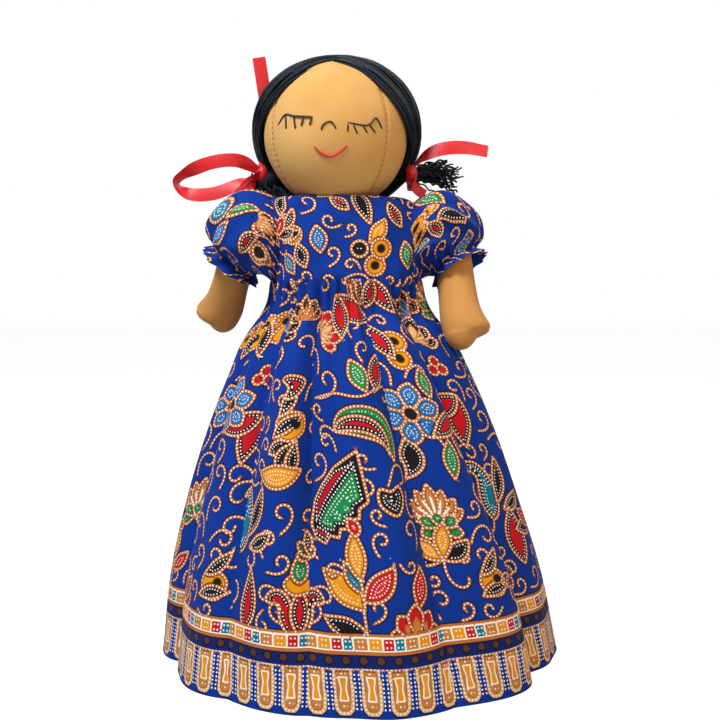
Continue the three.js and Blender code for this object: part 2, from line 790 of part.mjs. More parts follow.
// Sleeve: a puff from the round armhole to a cuff drawn in by its elastic, with a ruffle below.
// Each ring of the puff has an outer point in the plane of the arm and a half depth, and their inner points
// are spread evenly from the armpit to the cuff.
function sleeve(doll, side, splay) {
  const { radius, cuff } = armSizes(doll);
  const { puff, armhole } = doll;
  const down = hang(side, splay);
  const outward = down.clone().cross(AXIS_Y).multiplyScalar(side);
  const armholeX = doll.collar + CLEARANCE - doll.hinge;
  const puffRings = [
    { outer: [armholeX, armhole], depth: armhole },
    { outer: [-0.2 * puff, 0.96 * puff], depth: 0.94 * puff },
    { outer: [0.35 * puff, 0.74 * puff], depth: puff },
    { outer: [0.72 * puff, 0.17 * puff], depth: 0.94 * puff },
    { outer: [0.72 * puff, -0.5 * cuff], depth: 0.8 * puff },
  ];
  const slant = Math.tan(splay);
  const place = ([x, z]) => vector(side * (x + slant * Math.max(0, -z)), 0, z);
  const cuffRadius = radius + 2 * CLEARANCE + ELASTIC_THICKNESS + CLOTH;
  const armpit = vector(side * armholeX, 0, -armhole);
  const cuffInside = down.clone().multiplyScalar(cuff).addScaledVector(outward, -cuffRadius);
  const cuffRings = [
    [cuff, cuffRadius],
    [cuff + RUFFLE_LENGTH * doll.limb, cuffRadius + doll.ruffle],
  ];
  const rings = (inset) => [
    ...puffRings.map(({ outer, depth }, i) => {
      const inner = armpit.clone().lerp(cuffInside, i / puffRings.length);
      const reach = place(outer).sub(inner);
      const centre = inner.addScaledVector(reach, 0.5);
      const half = reach.length() / 2;
      return ellipse(centre, reach.normalize(), AXIS_Y, half - inset, depth - inset, SLEEVE_SEGMENTS);
    }),
    ...cuffRings.map(([depth, girth]) => {
      const centre = down.clone().multiplyScalar(depth);
      return ellipse(centre, outward, AXIS_Y, girth - inset, girth - inset, SLEEVE_SEGMENTS);
    }),
  ];
  return shell(rings(0), rings(CLOTH));
}

function elastic(doll, side, splay) {
  const { radius, cuff } = armSizes(doll);
  const down = hang(side, splay);
  const level = down.clone().cross(AXIS_Y);
  const rings = (girth) => [-ELASTIC_WIDTH / 2, ELASTIC_WIDTH / 2].map((place) => (
    ellipse(down.clone().multiplyScalar(cuff + place), level, AXIS_Y, girth, girth, SLEEVE_SEGMENTS)
  ));
  const inner = radius + CLEARANCE;
  return shell(rings(inner + ELASTIC_THICKNESS), rings(inner));
}

function armPieces(doll, side) {
  const word = side > 0 ? 'left' : 'right';
  const pair = side > 0 ? 0 : 1;
  const splay = radians(doll.splay[pair]);
  const arm = new THREE.Group();
  arm.position.set(side * doll.hinge, 0, doll.shoulder);
  arm.rotation.x = -radians(doll.swing[pair]);
  arm.add(
    cloth(`${doll.name}_arm_skin_${word}`, armSkin(doll, side, splay), doll.skin),
    cloth(`${doll.name}_arm_stuffing_${word}`, armStuffing(doll, side, splay), WADDING),
    cloth(`${doll.name}_sleeve_${word}`, sleeve(doll, side, splay), doll.dress),
    cloth(`${doll.name}_sleeve_elastic_${word}`, elastic(doll, side, splay), ELASTIC),
  );
  return arm;
}

function dollPieces(doll) {
  const group = new THREE.Group();
  group.position.set(WAIST_SHIFT, 0, WAIST_HEIGHT);
  group.add(
    cloth(`${doll.name}_bodice`, bodice(doll), doll.dress),
    headPieces(doll),
    armPieces(doll, 1),
    armPieces(doll, -1),
  );
  return group;
}

// The whole doll. The lower doll is turned over about the waist, so that it also faces the front.
const part = new THREE.Group();
const upperDoll = dollPieces(UPPER);
const lowerDoll = dollPieces(LOWER);
lowerDoll.rotation.y = Math.PI;
part.add(skirtPieces(), torsoPieces(), upperDoll, lowerDoll);

export default part;
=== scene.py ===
"""Looks of a topsy-turvy cloth doll: printed cotton, yarn hair, satin ribbons and hand stitches."""
import math

import bpy
import numpy as np
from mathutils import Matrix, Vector, kdtree


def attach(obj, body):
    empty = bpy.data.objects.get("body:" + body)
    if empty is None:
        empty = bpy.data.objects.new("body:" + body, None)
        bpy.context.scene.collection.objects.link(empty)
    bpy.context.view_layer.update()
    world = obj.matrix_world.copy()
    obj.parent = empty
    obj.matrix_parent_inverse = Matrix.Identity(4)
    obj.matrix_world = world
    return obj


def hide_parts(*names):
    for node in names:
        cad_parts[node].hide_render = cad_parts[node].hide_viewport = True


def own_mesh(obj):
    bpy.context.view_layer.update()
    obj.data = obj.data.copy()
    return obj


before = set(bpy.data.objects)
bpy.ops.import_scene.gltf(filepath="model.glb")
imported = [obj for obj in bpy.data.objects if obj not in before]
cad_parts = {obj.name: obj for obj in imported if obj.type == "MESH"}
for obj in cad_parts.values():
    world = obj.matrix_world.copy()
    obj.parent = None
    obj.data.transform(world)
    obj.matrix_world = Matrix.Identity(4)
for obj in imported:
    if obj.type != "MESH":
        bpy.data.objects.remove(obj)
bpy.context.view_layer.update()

# Every size and place below is in millimetres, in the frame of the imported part.
MM = 0.001
rng = np.random.default_rng(11)

# Camera, fitted to the photograph
CAMERA_DISTANCE = 574
CAMERA_HEIGHT = 191.7
CAMERA_PITCH = 4.39
FOCAL_PIXELS = 1130
IMAGE_PIXELS = 720

# Stage
FLOOR_REACH = 4000
FLOOR_GAP = 0.2
FLOOR_GLOW = 0.8
ROOM_LIGHT = 0.19

# Skirt
WAIST_HEIGHT = 189
WAIST_SHIFT = -7
WAIST_RADIUS = 33.5
WAIST_WIDEN = 0.09
HEM_RADIUS = 101
SKIRT_COLUMNS = 760
UPPER_ROWS = 130
BORDER_ROWS = 44
BORDER_HEIGHT = 31
TAPE_INSET = 1.7
TAPE_TOP = 12
TAPE_FOOT = 1.5
LINING_INSET = 3.2
LINING_ROWS = 64
LINING_COLUMNS = 240
LINING_RISE = 1.2
LIFT_HEIGHT = 140
GATHER_COUNT = 37
GATHER_DEPTH = 1.5

# Printed cloth: one repeat of the print, and the bands of its border from the hem up
TILE = 300
REPEATS = 2
LINE_HALF = 0.72
TENDRIL_HALF = 0.64
DOT_PITCH = 1.7
BAND_WIDTH = 1.7
TONGUE_FOOT = 2
TONGUE_TOP = 19.8
BAND_TOP = 26
CHAIN_TOP = 33.2
TONGUES = 26
CHAINS = 14
PRINT_MARGIN = 8
# Curls that fill its gaps: spacing of the places that are tried, and the room that a curl keeps
GAP_ROW = 7
GAP_COLUMN = 8
GAP_FREE = 2.1


def colour(red, green, blue):
    """Linear colour from the 0 to 255 values that a screen shows."""
    shares = np.array([red, green, blue]) / 255
    linear = np.where(shares <= 0.04045, shares / 12.92, ((shares + 0.055) / 1.055) ** 2.4)
    return (*linear.tolist(), 1.0)


BLUE = colour(3, 50, 145)
NAVY = colour(12, 32, 104)
OCHRE = colour(190, 108, 44)
GOLD = colour(230, 150, 22)
WHITE = colour(246, 240, 228)
BLACK = colour(20, 18, 24)
RED = colour(196, 20, 34)
GREEN = colour(14, 136, 74)
TEAL = colour(14, 118, 150)
SKY = colour(16, 108, 178)
COPPER = colour(196, 126, 62)
PEACH = colour(226, 176, 120)
UMBER = colour(84, 54, 40)


# Curves and meshes
def runs_along(path):
    """The length of a path up to each of its points."""
    return np.concatenate([[0], np.cumsum(np.linalg.norm(np.diff(path, axis=0), axis=1))])


def spline(points, step=0.6, closed=False):
    """Points about a step apart on a smooth curve through the given ones."""
    knots = np.asarray(points, float)
    ring = knots if closed else np.vstack([2 * knots[0] - knots[1], knots, 2 * knots[-1] - knots[-2]])
    count = len(knots) if closed else len(knots) - 1
    shares = np.linspace(0, 1, 24, endpoint=False)[:, None]
    runs = []
    for i in range(count):
        a, b, c, d = (ring[(i + k - closed) % len(ring)] for k in range(4))
        cubic = (-a + 3 * b - 3 * c + d) * shares**3 + (2 * a - 5 * b + 4 * c - d) * shares**2
        runs.append(0.5 * (cubic + (c - a) * shares + 2 * b))
    dense = np.vstack([*runs, knots[:1] if closed else knots[-1:]])
    lengths = runs_along(dense)
    count = max(2, int(round(lengths[-1] / step)) + 1)
    places = np.linspace(0, lengths[-1], count, endpoint=not closed)
    return np.stack([np.interp(places, lengths, column) for column in dense.T], 1)


def even_rows(points, step, rows):
    """A number of points spread over the smooth curve through the given ones."""
    curve = spline(points, step)
    return curve[np.linspace(0, len(curve) - 1, rows).astype(int)]


def ring_angles(columns):
    """Angles round a ring from its back, with the front at 0."""
    return np.linspace(-np.pi, np.pi, columns, endpoint=False)


def ring_runs(points):
    """For a grid of closed rings: the run round each ring to each point, and the mean run between rings."""
    closed = np.concatenate([points, points[:, :1]], 1)
    around = np.cumsum(np.linalg.norm(np.diff(closed, axis=1), axis=2), 1)
    runs = np.concatenate([np.zeros((len(points), 1)), around], 1)
    return runs, np.linalg.norm(np.diff(points, axis=0), axis=2).mean(1)


def search_tree(places):
    """A tree that finds the nearest of many flat places."""
    tree = kdtree.KDTree(len(places))
    for number, (x, y) in enumerate(places):
        tree.insert((x, y, 0), number)
    tree.balance()
    return tree


def smooth_step(values, low, high):
    share = np.clip((np.asarray(values, float) - low) / (high - low), 0, 1)
    return share * share * (3 - 2 * share)


def unit(vectors):
    return vectors / np.linalg.norm(vectors, axis=-1, keepdims=True)


def add_piece(name, points, faces, material):
    mesh = bpy.data.meshes.new(name)
    mesh.from_pydata((np.asarray(points) * MM).tolist(), [], [list(face) for face in faces])
    mesh.polygons.foreach_set("use_smooth", np.ones(len(mesh.polygons), bool))
    mesh.materials.append(material)
    piece = bpy.data.objects.new(name, mesh)
    bpy.context.scene.collection.objects.link(piece)
    return piece


def grid_faces(rows, columns, closed=True):
    row, column = np.meshgrid(np.arange(rows - 1), np.arange(columns - (not closed)), indexing="ij")
    after = (column + 1) % columns
    corners = [row * columns + column, (row + 1) * columns + column,
               (row + 1) * columns + after, row * columns + after]
    return np.stack(corners, -1).reshape(-1, 4)


def tubes(paths, radii, sides=6):
    """One mesh of round strands along paths, each with its radius or a radius at each of its points."""
    angles = np.linspace(0, 2 * np.pi, sides, endpoint=False)[None, :, None]
    points, faces, first = [], [], 0
    for path, radius in zip(paths, radii):
        tangent = unit(np.gradient(path, axis=0))
        across = unit(np.cross(tangent, [0.31, 0.23, 0.92]))
        up = np.cross(across, tangent)
        girth = np.broadcast_to(radius, len(path))[:, None, None]
        ring = path[:, None] + girth * (np.cos(angles) * across[:, None] + np.sin(angles) * up[:, None])
        points.append(ring.reshape(-1, 3))
        faces += (grid_faces(len(path), sides)[:, ::-1] + first).tolist()
        faces.append(list(range(first, first + sides)))
        last = first + sides * (len(path) - 1)
        faces.append(list(range(last + sides - 1, last - 1, -1)))
        first += len(path) * sides
    return np.vstack(points), faces


# Material nodes
class Nodes:
    """A short way to write the nodes of one material."""

    def __init__(self, name):
        self.material = bpy.data.materials.new(name)
        self.material.use_nodes = True
        self.tree = self.material.node_tree
        self.shader = self.tree.nodes["Principled BSDF"]

    def add(self, kind, **settings):
        node = self.tree.nodes.new(kind)
        for key, value in settings.items():
            setattr(node, key, value)
        return node

    def plug(self, socket, value):
        if isinstance(value, bpy.types.NodeSocket):
            self.tree.links.new(value, socket)
        else:
            socket.default_value = value

    def math(self, operation, first, second=0.0, third=0.0):
        node = self.add("ShaderNodeMath", operation=operation)
        for socket, value in zip(node.inputs, (first, second, third)):
            self.plug(socket, value)
        return node.outputs[0]

    def mix(self, share, first, second):
        node = self.add("ShaderNodeMix", data_type="RGBA")
        self.plug(node.inputs["Factor"], share)
        self.plug(node.inputs["A"], first)
        self.plug(node.inputs["B"], second)
        return node.outputs["Result"]

    def attribute(self, name):
        return self.add("ShaderNodeAttribute", attribute_name=name)

    def noise(self, scale, detail=2.0, vector=None):
        node = self.add("ShaderNodeTexNoise")
        node.inputs["Scale"].default_value = scale
        node.inputs["Detail"].default_value = detail
        self.plug(node.inputs["Vector"], vector or self.add("ShaderNodeTexCoord").outputs["Object"])
        return node.outputs["Fac"]

    def weave(self, threads_per_metre, coordinates=None):
        """Plain weave: two crossed sets of threads, as a height from 0 to 1."""
        split = self.add("ShaderNodeSeparateXYZ")
        self.plug(split.inputs[0], coordinates or self.add("ShaderNodeUVMap", uv_map="flat").outputs[0])
        waves = []
        for axis in (0, 1):
            run = self.math("MULTIPLY", split.outputs[axis], threads_per_metre * 2 * math.pi)
            waves.append(self.math("SINE", run))
        return self.math("MULTIPLY_ADD", self.math("MULTIPLY", *waves), 0.5, 0.5)

    def bump(self, height, distance, strength=1.0, under=None):
        node = self.add("ShaderNodeBump")
        node.inputs["Distance"].default_value = distance
        node.inputs["Strength"].default_value = strength
        self.plug(node.inputs["Height"], height)
        if under is not None:
            self.plug(node.inputs["Normal"], under)
        return node.outputs["Normal"]

    def surface(self, **sockets):
        for name, value in sockets.items():
            self.plug(self.shader.inputs[name.replace("_", " ")], value)
        return self.material


def printed_cotton():
    """Cotton with the drawing that a Print lays on a piece: dotted lines round filled shapes."""
    nodes = Nodes("printed_cotton")
    stroke = nodes.add("ShaderNodeSeparateXYZ")
    nodes.plug(stroke.inputs[0], nodes.attribute("stroke").outputs["Vector"])
    offset, run, half = stroke.outputs
    style = nodes.add("ShaderNodeSeparateXYZ")
    nodes.plug(style.inputs[0], nodes.attribute("style").outputs["Vector"])
    dotted, banded, fielded = style.outputs
    distance = nodes.math("ABSOLUTE", offset)
    wobble = nodes.math("MULTIPLY_ADD", nodes.noise(900), 0.24, -0.12)
    rim = nodes.math("ADD", nodes.math("SUBTRACT", distance, half), wobble)
    on_line = nodes.math("LESS_THAN", rim, 0.0)
    has_line = nodes.math("GREATER_THAN", half, 0.55)
    outside = nodes.math("LESS_THAN", offset, 0.0)
    edge_width = nodes.math("MULTIPLY_ADD", outside, 0.35, 0.25)
    on_edge = nodes.math("MULTIPLY", nodes.math("LESS_THAN", rim, edge_width), has_line)
    phase = nodes.math("FRACT", nodes.math("DIVIDE", run, DOT_PITCH))
    along = nodes.math("MULTIPLY", nodes.math("SUBTRACT", phase, 0.5), DOT_PITCH)
    along_squared = nodes.math("MULTIPLY", along, along)

    def dots(inset, radius, shown):
        """A row of round dots beside the line, at a distance inside it."""
        gap = nodes.math("SUBTRACT", offset, inset)
        reach = nodes.math("ADD", along_squared, nodes.math("MULTIPLY", gap, gap))
        return nodes.math("MULTIPLY", nodes.math("LESS_THAN", reach, radius**2), shown)

    inner = nodes.math("SUBTRACT", offset, half)
    in_band = nodes.math("MULTIPLY", nodes.math("MULTIPLY", nodes.math("GREATER_THAN", inner, 0.0), banded),
                         nodes.math("LESS_THAN", inner, BAND_WIDTH))
    dot = dots(0.0, 0.41, dotted)
    for row, shown in ((BAND_WIDTH / 2, banded), (1.5, fielded), (3.1, fielded)):
        dot = nodes.math("MAXIMUM", dot, dots(nodes.math("ADD", half, row), 0.36, shown))
    ground = nodes.mix(in_band, nodes.attribute("fill").outputs["Color"], BLACK)
    ground = nodes.mix(nodes.math("MULTIPLY", on_edge, 0.85), ground, colour(16, 12, 20))
    drawn = nodes.mix(dot, nodes.mix(on_line, ground, nodes.attribute("line").outputs["Color"]), WHITE)
    shade = nodes.math("MULTIPLY_ADD", nodes.noise(60, 3.0), 0.3, 0.85)
    bright = nodes.add("ShaderNodeMix", data_type="RGBA", blend_type="MULTIPLY")
    bright.inputs["Factor"].default_value = 1.0
    nodes.plug(bright.inputs["A"], drawn)
    nodes.plug(bright.inputs["B"], shade)
    creases = nodes.bump(nodes.noise(140, 3.0), 0.0006, 0.35)
    normal = nodes.bump(nodes.weave(2600), 0.00012, 0.5, creases)
    return nodes.surface(Base_Color=bright.outputs["Result"], Roughness=0.78, Sheen_Weight=0.02,
                         Specular_IOR_Level=0.12, Normal=normal)


def plain_cotton(name, pale, dark):
    """Plain woven cotton that is a little uneven in colour."""
    nodes = Nodes(name)
    share = nodes.math("MULTIPLY_ADD", nodes.noise(45, 4.0), 1.1, -0.05)
    position = nodes.add("ShaderNodeTexCoord").outputs["Object"]
    weave = nodes.weave(1500, position)
    tone = nodes.mix(share, dark, pale)
    threads = nodes.mix(nodes.math("MULTIPLY", weave, 0.12), tone, dark)
    puckers = nodes.bump(nodes.noise(160, 3.0), 0.0005, 0.3)
    return nodes.surface(Base_Color=threads, Roughness=0.85, Sheen_Weight=0.04, Specular_IOR_Level=0.2,
                         Normal=nodes.bump(weave, 0.0001, 0.5, puckers))


def dotted_cotton():
    """Red cotton with small white dots in offset rows, by the flat coordinates of the cloth."""
    nodes = Nodes("dotted_cotton")
    flat = nodes.add("ShaderNodeSeparateXYZ")
    nodes.plug(flat.inputs[0], nodes.add("ShaderNodeUVMap", uv_map="flat").outputs[0])
    spacing = 0.009
    spots = []
    for shift in (0.0, 0.5):
        squares = []
        for axis in (0, 1):
            cells = nodes.math("ADD", nodes.math("DIVIDE", flat.outputs[axis], spacing), shift)
            centred = nodes.math("SUBTRACT", nodes.math("FRACT", cells), 0.5)
            squares.append(nodes.math("MULTIPLY", centred, centred))
        spots.append(nodes.math("LESS_THAN", nodes.math("ADD", *squares), 0.016))
    spot = nodes.math("MAXIMUM", *spots)
    tone = nodes.mix(nodes.noise(50, 3.0), colour(150, 18, 28), colour(186, 26, 34))
    creases = nodes.bump(nodes.noise(140, 3.0), 0.0006, 0.35)
    normal = nodes.bump(nodes.weave(2600), 0.00012, 0.5, creases)
    return nodes.surface(Base_Color=nodes.mix(spot, tone, WHITE), Roughness=0.8, Sheen_Weight=0.12,
                         Normal=normal)


def yarn(name, deep, pale):
    """Fine yarn: strands that vary in tone, with the fuzz of spun fibre."""
    nodes = Nodes(name)
    stretched = nodes.add("ShaderNodeMapping")
    stretched.inputs["Scale"].default_value = (1, 1, 0.4)
    nodes.plug(stretched.inputs["Vector"], nodes.add("ShaderNodeTexCoord").outputs["Object"])
    fibre = nodes.noise(1500, 3.0, stretched.outputs[0])
    tone = nodes.mix(nodes.math("MULTIPLY_ADD", fibre, 1.6, -0.3), deep, pale)
    return nodes.surface(Base_Color=tone, Roughness=0.55, Sheen_Weight=0.05, Specular_IOR_Level=0.22,
                         Specular_Tint=(0.75, 0.9, 1, 1), Normal=nodes.bump(fibre, 0.0003, 0.8))


def satin():
    """Satin ribbon: smooth, with fine ribs across it and a soft gloss."""
    nodes = Nodes("red_satin")
    tone = nodes.mix(nodes.noise(90, 2.0), colour(196, 6, 20), colour(222, 16, 30))
    ribs = nodes.weave(3200)
    return nodes.surface(Base_Color=tone, Roughness=0.36, Sheen_Weight=0.08, Anisotropic=0.6,
                         Normal=nodes.bump(ribs, 0.00006, 0.4))


def thread(name, deep, pale):
    """Stranded thread, with a twist that shows as fine slanted bands."""
    nodes = Nodes(name)
    twist = nodes.noise(2400, 1.0)
    tone = nodes.mix(twist, deep, pale)
    return nodes.surface(Base_Color=tone, Roughness=0.6, Normal=nodes.bump(twist, 0.0002, 0.6))


def wadding():
    """White fibre, for what fills the skins."""
    nodes = Nodes("wadding")
    fluff = nodes.noise(500, 5.0)
    tone = nodes.mix(fluff, colour(222, 216, 204), colour(246, 242, 234))
    return nodes.surface(Base_Color=tone, Roughness=0.95, Normal=nodes.bump(fluff, 0.001, 0.8))


BATIK = printed_cotton()
DOTTED = dotted_cotton()
TAN = plain_cotton("tan_cotton", colour(226, 180, 110), colour(208, 154, 84))
# Painted shade: a darker, more saturated copy of the tan cotton, for the arms, which hang in shade
SHADED_ARM_TAN = plain_cotton("arm_cotton_painted_shade", colour(210, 154, 88), colour(190, 130, 66))
BROWN = plain_cotton("brown_cotton", colour(140, 88, 52), colour(116, 70, 40))
BLACK_YARN = yarn("black_yarn", colour(5, 8, 14), colour(15, 25, 41))
BROWN_YARN = yarn("brown_yarn", colour(44, 24, 12), colour(92, 54, 30))
SATIN = satin()
BLACK_THREAD = thread("black_thread", colour(16, 14, 18), colour(46, 40, 44))
RED_THREAD = thread("red_thread", colour(180, 20, 28), colour(222, 50, 48))
SEAM_THREAD = thread("seam_thread", colour(104, 68, 34), colour(150, 104, 58))
WADDING = wadding()
TAPE = plain_cotton("cotton_tape", colour(226, 214, 186), colour(204, 190, 160))


# The print. Each shape is drawn in the flat, in millimetres, with the hem along v = 0.
def way(heading):
    """Steps of 1 in headings given in degrees."""
    angle = np.radians(heading)
    return np.stack([np.cos(angle), np.sin(angle)], -1)


class Drawing:
    """Outlines and fills of one repeat, in the order that they cover each other."""

    def __init__(self):
        self.strokes = []

    def ink(self, points, fill=None, line=OCHRE, half=LINE_HALF, dotted=True, closed=True,
            band=False, field=False):
        """An outline: dotted along it, with a dark dotted band or rows of dots inside it."""
        points = np.asarray(points, float)
        x, y = points.T
        if closed and (x * np.roll(y, -1) - y * np.roll(x, -1)).sum() < 0:
            points = points[::-1]
        style = (float(dotted), float(band and closed), float(field and closed))
        self.strokes.append({"points": points, "fill": fill, "line": line, "half": half,
                             "style": style, "closed": closed})

    def shape(self, place, points, size, turn, fill, smooth=True, **style):
        """A closed outline through points, turned and set at a place."""
        points = np.asarray(points, float) * size
        if smooth:
            points = spline(points, 0.8, True)
        cosine, sine = way(turn)
        self.ink(points @ [[cosine, sine], [-sine, cosine]] + place, fill, **style)

    def blade(self, place, heading, length, width, fill, bend=0, belly=0.5, **style):
        """A leaf or petal from its foot: heading and bend in degrees, belly where it is widest."""
        shares = np.linspace(0, 1, 17)
        ways = way(heading + bend * (shares - 0.5))
        steps = ways * length / (len(shares) - 1)
        spine = np.asarray(place, float) + np.cumsum(steps, 0) - steps[0]
        power = math.log(0.5) / math.log(belly)
        girth = 0.5 * width * np.sin(np.pi * shares**power)[:, None]
        side = ways[:, ::-1] * (-1, 1)
        self.ink(np.vstack([spine + girth * side, (spine - girth * side)[-2:0:-1]]), fill, **style)
        return spine[-1]

    def line(self, path):
        self.ink(path, half=TENDRIL_HALF, closed=False)

    def tendril(self, place, heading, length, curl):
        """A stem that ends in a curl: degrees of turn in all, most of it near the end."""
        shares = np.linspace(0, 1, 50)
        steps = way(heading + curl * shares**2) * length / (len(shares) - 1)
        self.line(np.asarray(place, float) + np.cumsum(steps, 0))

    def disc(self, place, radius, fill, line, half, dotted=False):
        ring = way(np.linspace(0, 360, 14, endpoint=False))
        self.ink(np.asarray(place, float) + radius * ring, fill, line, half, dotted)

    def spot(self, place, radius, fill, half=0.8):
        """A disc with a dotted outline."""
        self.disc(place, radius, fill, OCHRE, half, True)

    def dots(self, start, end):
        """A row of white dots without a line."""
        self.ink([start, end], None, WHITE, 0.0, True, False)

    def box(self, left, low, right, high, fill, line, half):
        self.ink([(left, low), (right, low), (right, high), (left, high)], fill, line, half, False)


# Outlines of motifs, from their middle or foot
TULIP_PETAL = [(-1, 0), (-6, 2), (-9.5, 8), (-11, 15), (-17, 16.5), (-15, 21), (-9.5, 22), (-5, 17), (-3, 8)]
TULIP_CUP = [(-8, 1), (-4, -4), (4, -4), (8, 1), (4, 5), (0, 2), (-4, 5)]
PAISLEY = [(-2, -18), (4, -14), (7, -4), (5, 7), (-1, 14), (-9, 14), (-12, 8), (-7, 10), (-3, 6), (-5, -2),
           (-6, -10)]
SAW_EDGE = [(7, 21), (12.8, 1), (9.2, -2.5), (9.6, -6.2), (6, -7.6), (6.2, -11.2), (2, -12.2), (1.8, -15.8),
            (-2.8, -16.2), (-4.5, -20), (-10, -19.4), (-13, -15), (-12.6, -5), (-9.4, 2), (-3, 11.5)]
SAW_STRIPE = [(5, 15), (-1.6, 5), (-7, -4), (-10.8, -13), (-11.4, -5), (-8, 2), (-2.4, 10)]
SAW_FIELD = [(6.2, 14.4), (10.2, 1.6), (6.4, -1.6), (6.8, -5), (3.4, -6.2), (3.4, -9.6), (-0.6, -10.6),
             (-1, -13.6), (-6, -14.2), (-9.4, -13), (-5.4, -4.6), (0, 4)]
SAW_FOOT = [(-10.6, -17.6), (-5, -18.4), (-3.4, -15.6), (-9.6, -14.8)]
BEE = [(-7, 0), (-4, 6), (3, 6), (8, 1), (5, -6), (-3, -6)]
HEART = [(0, -7), (6, -1), (5, 5), (0, 4), (-5, 6), (-6.5, -1)]
BELL = [(0, 7), (5.4, 1), (5, -5), (0, -2), (-5, -5), (-5.4, 1)]


# Motifs. Each is drawn at a place on the cloth.
def leaf(drawing, x, y, heading, length, width, fill, bend=0, belly=0.5, banded=(RED, BLACK)):
    """A leaf with a dark dotted band inside it, or with rows of dots."""
    band = fill in banded
    drawing.blade((x, y), heading, length, width, fill, bend, belly, band=band, field=not band)


def eye(drawing, x, y):
    drawing.spot((x, y), 4, BLACK)
    drawing.dots((x - 1.8, y), (x + 1.8, y))


def ringed_spot(drawing, x, y):
    drawing.spot((x, y), 6.4, PEACH)
    drawing.spot((x, y), 4, BLACK)


def heart(drawing, x, y):
    drawing.shape((x, y), HEART, 0.95, 10, BLACK, field=True)


def bell(drawing, x, y):
    drawing.shape((x, y), BELL, 0.9, -70, RED, band=True)


def lotus(drawing, x, y, size):
    place = np.array([x, y])
    for heading, length in [(158, 17), (22, 17), (136, 18), (44, 18), (112, 19), (68, 19), (90, 21)]:
        tip = drawing.blade(place, heading, length * size, 7 * size, COPPER, belly=0.6)
        drawing.ink([place, (place + 2 * tip) / 3], None, WHITE, 0.5, False, False)
    for heading, length in [(196, 12), (-16, 12), (150, 12), (30, 12), (90, 9)]:
        drawing.blade((x, y - 3 * size), heading, length * size, 7 * size, GREEN, belly=0.62, field=True)


def tulip(drawing, x, y, size):
    for side in (1, -1):
        drawing.tendril((x - side * 9 * size, y + 20 * size), 90 + side * 50, 24 * size, side * 330)
        drawing.shape((x, y), np.array(TULIP_PETAL) * (side, 1), size, 0, RED, band=True)
        drawing.tendril((x + side * 8 * size, y + 6 * size), 90 - side * 70, 22 * size, side * 340)
    drawing.blade((x, y - 0.5), 90, 24 * size, 9 * size, RED, band=True)
    drawing.shape((x, y + 24 * size), TULIP_CUP, size, 0, GOLD)
    drawing.blade((x, y + 25 * size), 88, 16 * size, 9 * size, GREEN, belly=0.35, field=True)


def paisley(drawing, x, y, size):
    for across, up, heading, length, curl in (
            (-3, 12, 150, 30, 260), (-5, -6, 140, 28, 330), (-2, -17, 250, 22, -220)):
        drawing.tendril((x + across * size, y + up * size), heading, length * size, curl)
    drawing.shape((x, y), PAISLEY, size, 0, TEAL, band=True, field=True)
    drawing.blade((x + 5 * size, y - 10 * size), 66, 28 * size, 8 * size, BLACK, 30, band=True)
    drawing.blade((x + 8 * size, y - 14 * size), 30, 18 * size, 7 * size, BLACK, 40, band=True)
    drawing.tendril((x + 8 * size, y - 12 * size), -30, 20 * size, -280)


def saw_leaf(drawing, x, y, size, turn):
    """A broad leaf with teeth along one side: a dark edge, a stripe, a toothed field and a foot."""
    drawing.shape((x, y), SAW_EDGE, size, turn, BLACK, False)
    for part, fill in ((SAW_STRIPE, RED), (SAW_FIELD, GREEN), (SAW_FOOT, RED)):
        drawing.shape((x, y), part, size, turn, fill, False, line=BLACK, half=0.6, field=fill is GREEN)


def butterfly(drawing, x, y, size, heading):
    spots = []
    for turn, length in ((58, 20), (122, 20), (20, 15), (160, 15)):
        tip = drawing.blade((x, y), heading + turn - 90, length * size, 14 * size, GOLD, belly=0.64)
        spots.append((np.array([x, y]) + 2 * tip) / 3)
    for spot in spots:
        drawing.disc(spot, 1.5 * size, BLACK, BLACK, 0.6)
    drawing.blade((x, y - 8 * size), heading, 22 * size, 7 * size, BLACK, band=True)
    for side in (1, -1):
        drawing.tendril((x, y + 10 * size), heading + side * 20, 16 * size, side * 220)


def bee(drawing, x, y, size, turn):
    drawing.tendril((x, y + 6 * size), 60 + turn, 18 * size, 260)
    drawing.shape((x, y), BEE, size, turn, GOLD)
    drawing.blade((x - 6 * size, y + 4 * size), 40 + turn, 18 * size, 6 * size, BLACK, 40, band=True)
    drawing.blade((x - 8 * size, y - 6 * size), 10 + turn, 18 * size, 6 * size, BLACK, -30, band=True)
    drawing.disc((x + 3 * size, y + 1 * size), 1.4 * size, BLACK, BLACK, 0.6)


def flower(drawing, x, y, size, heading):
    for turn in range(0, 360, 60):
        drawing.blade((x, y), heading + turn, 17 * size, 10.5 * size, SKY, belly=0.62, field=True)
    drawing.spot((x, y), 4 * size, BLACK)


def star_leaf(drawing, x, y, size, heading, fill):
    """A leaf of five pointed lobes."""
    for turn, length in ((-62, 15), (62, 15), (-32, 20), (32, 20), (0, 24)):
        drawing.blade((x, y), heading + turn, length * size, 8.5 * size, fill, belly=0.55,
                      band=abs(turn) < 40)


def feather(drawing, x, y, size, heading, bend, outer, inner):
    """A curved plume with a coloured edge on one side."""
    drawing.tendril((x, y), heading + 170, 20 * size, 300)
    drawing.blade((x, y), heading, 48 * size, 16 * size, outer, bend, 0.4, field=True)
    drawing.blade((x, y), heading - 4 * np.sign(bend), 40 * size, 8 * size, inner, bend * 0.9, 0.4, band=True)


def shell(drawing, x, y, size, heading, edge, fill):
    """A fan of narrow petals, each with a heart of its own colour."""
    for turn in (-70, 70, -36, 36, 0):
        length = (15 - abs(turn) / 25) * size
        drawing.blade((x, y), heading + turn, length, 7.5 * size, edge, belly=0.64, band=edge is BLACK)
        drawing.blade((x, y), heading + turn, 0.66 * length, 3.6 * size, fill, belly=0.6, half=0.3,
                      dotted=False)


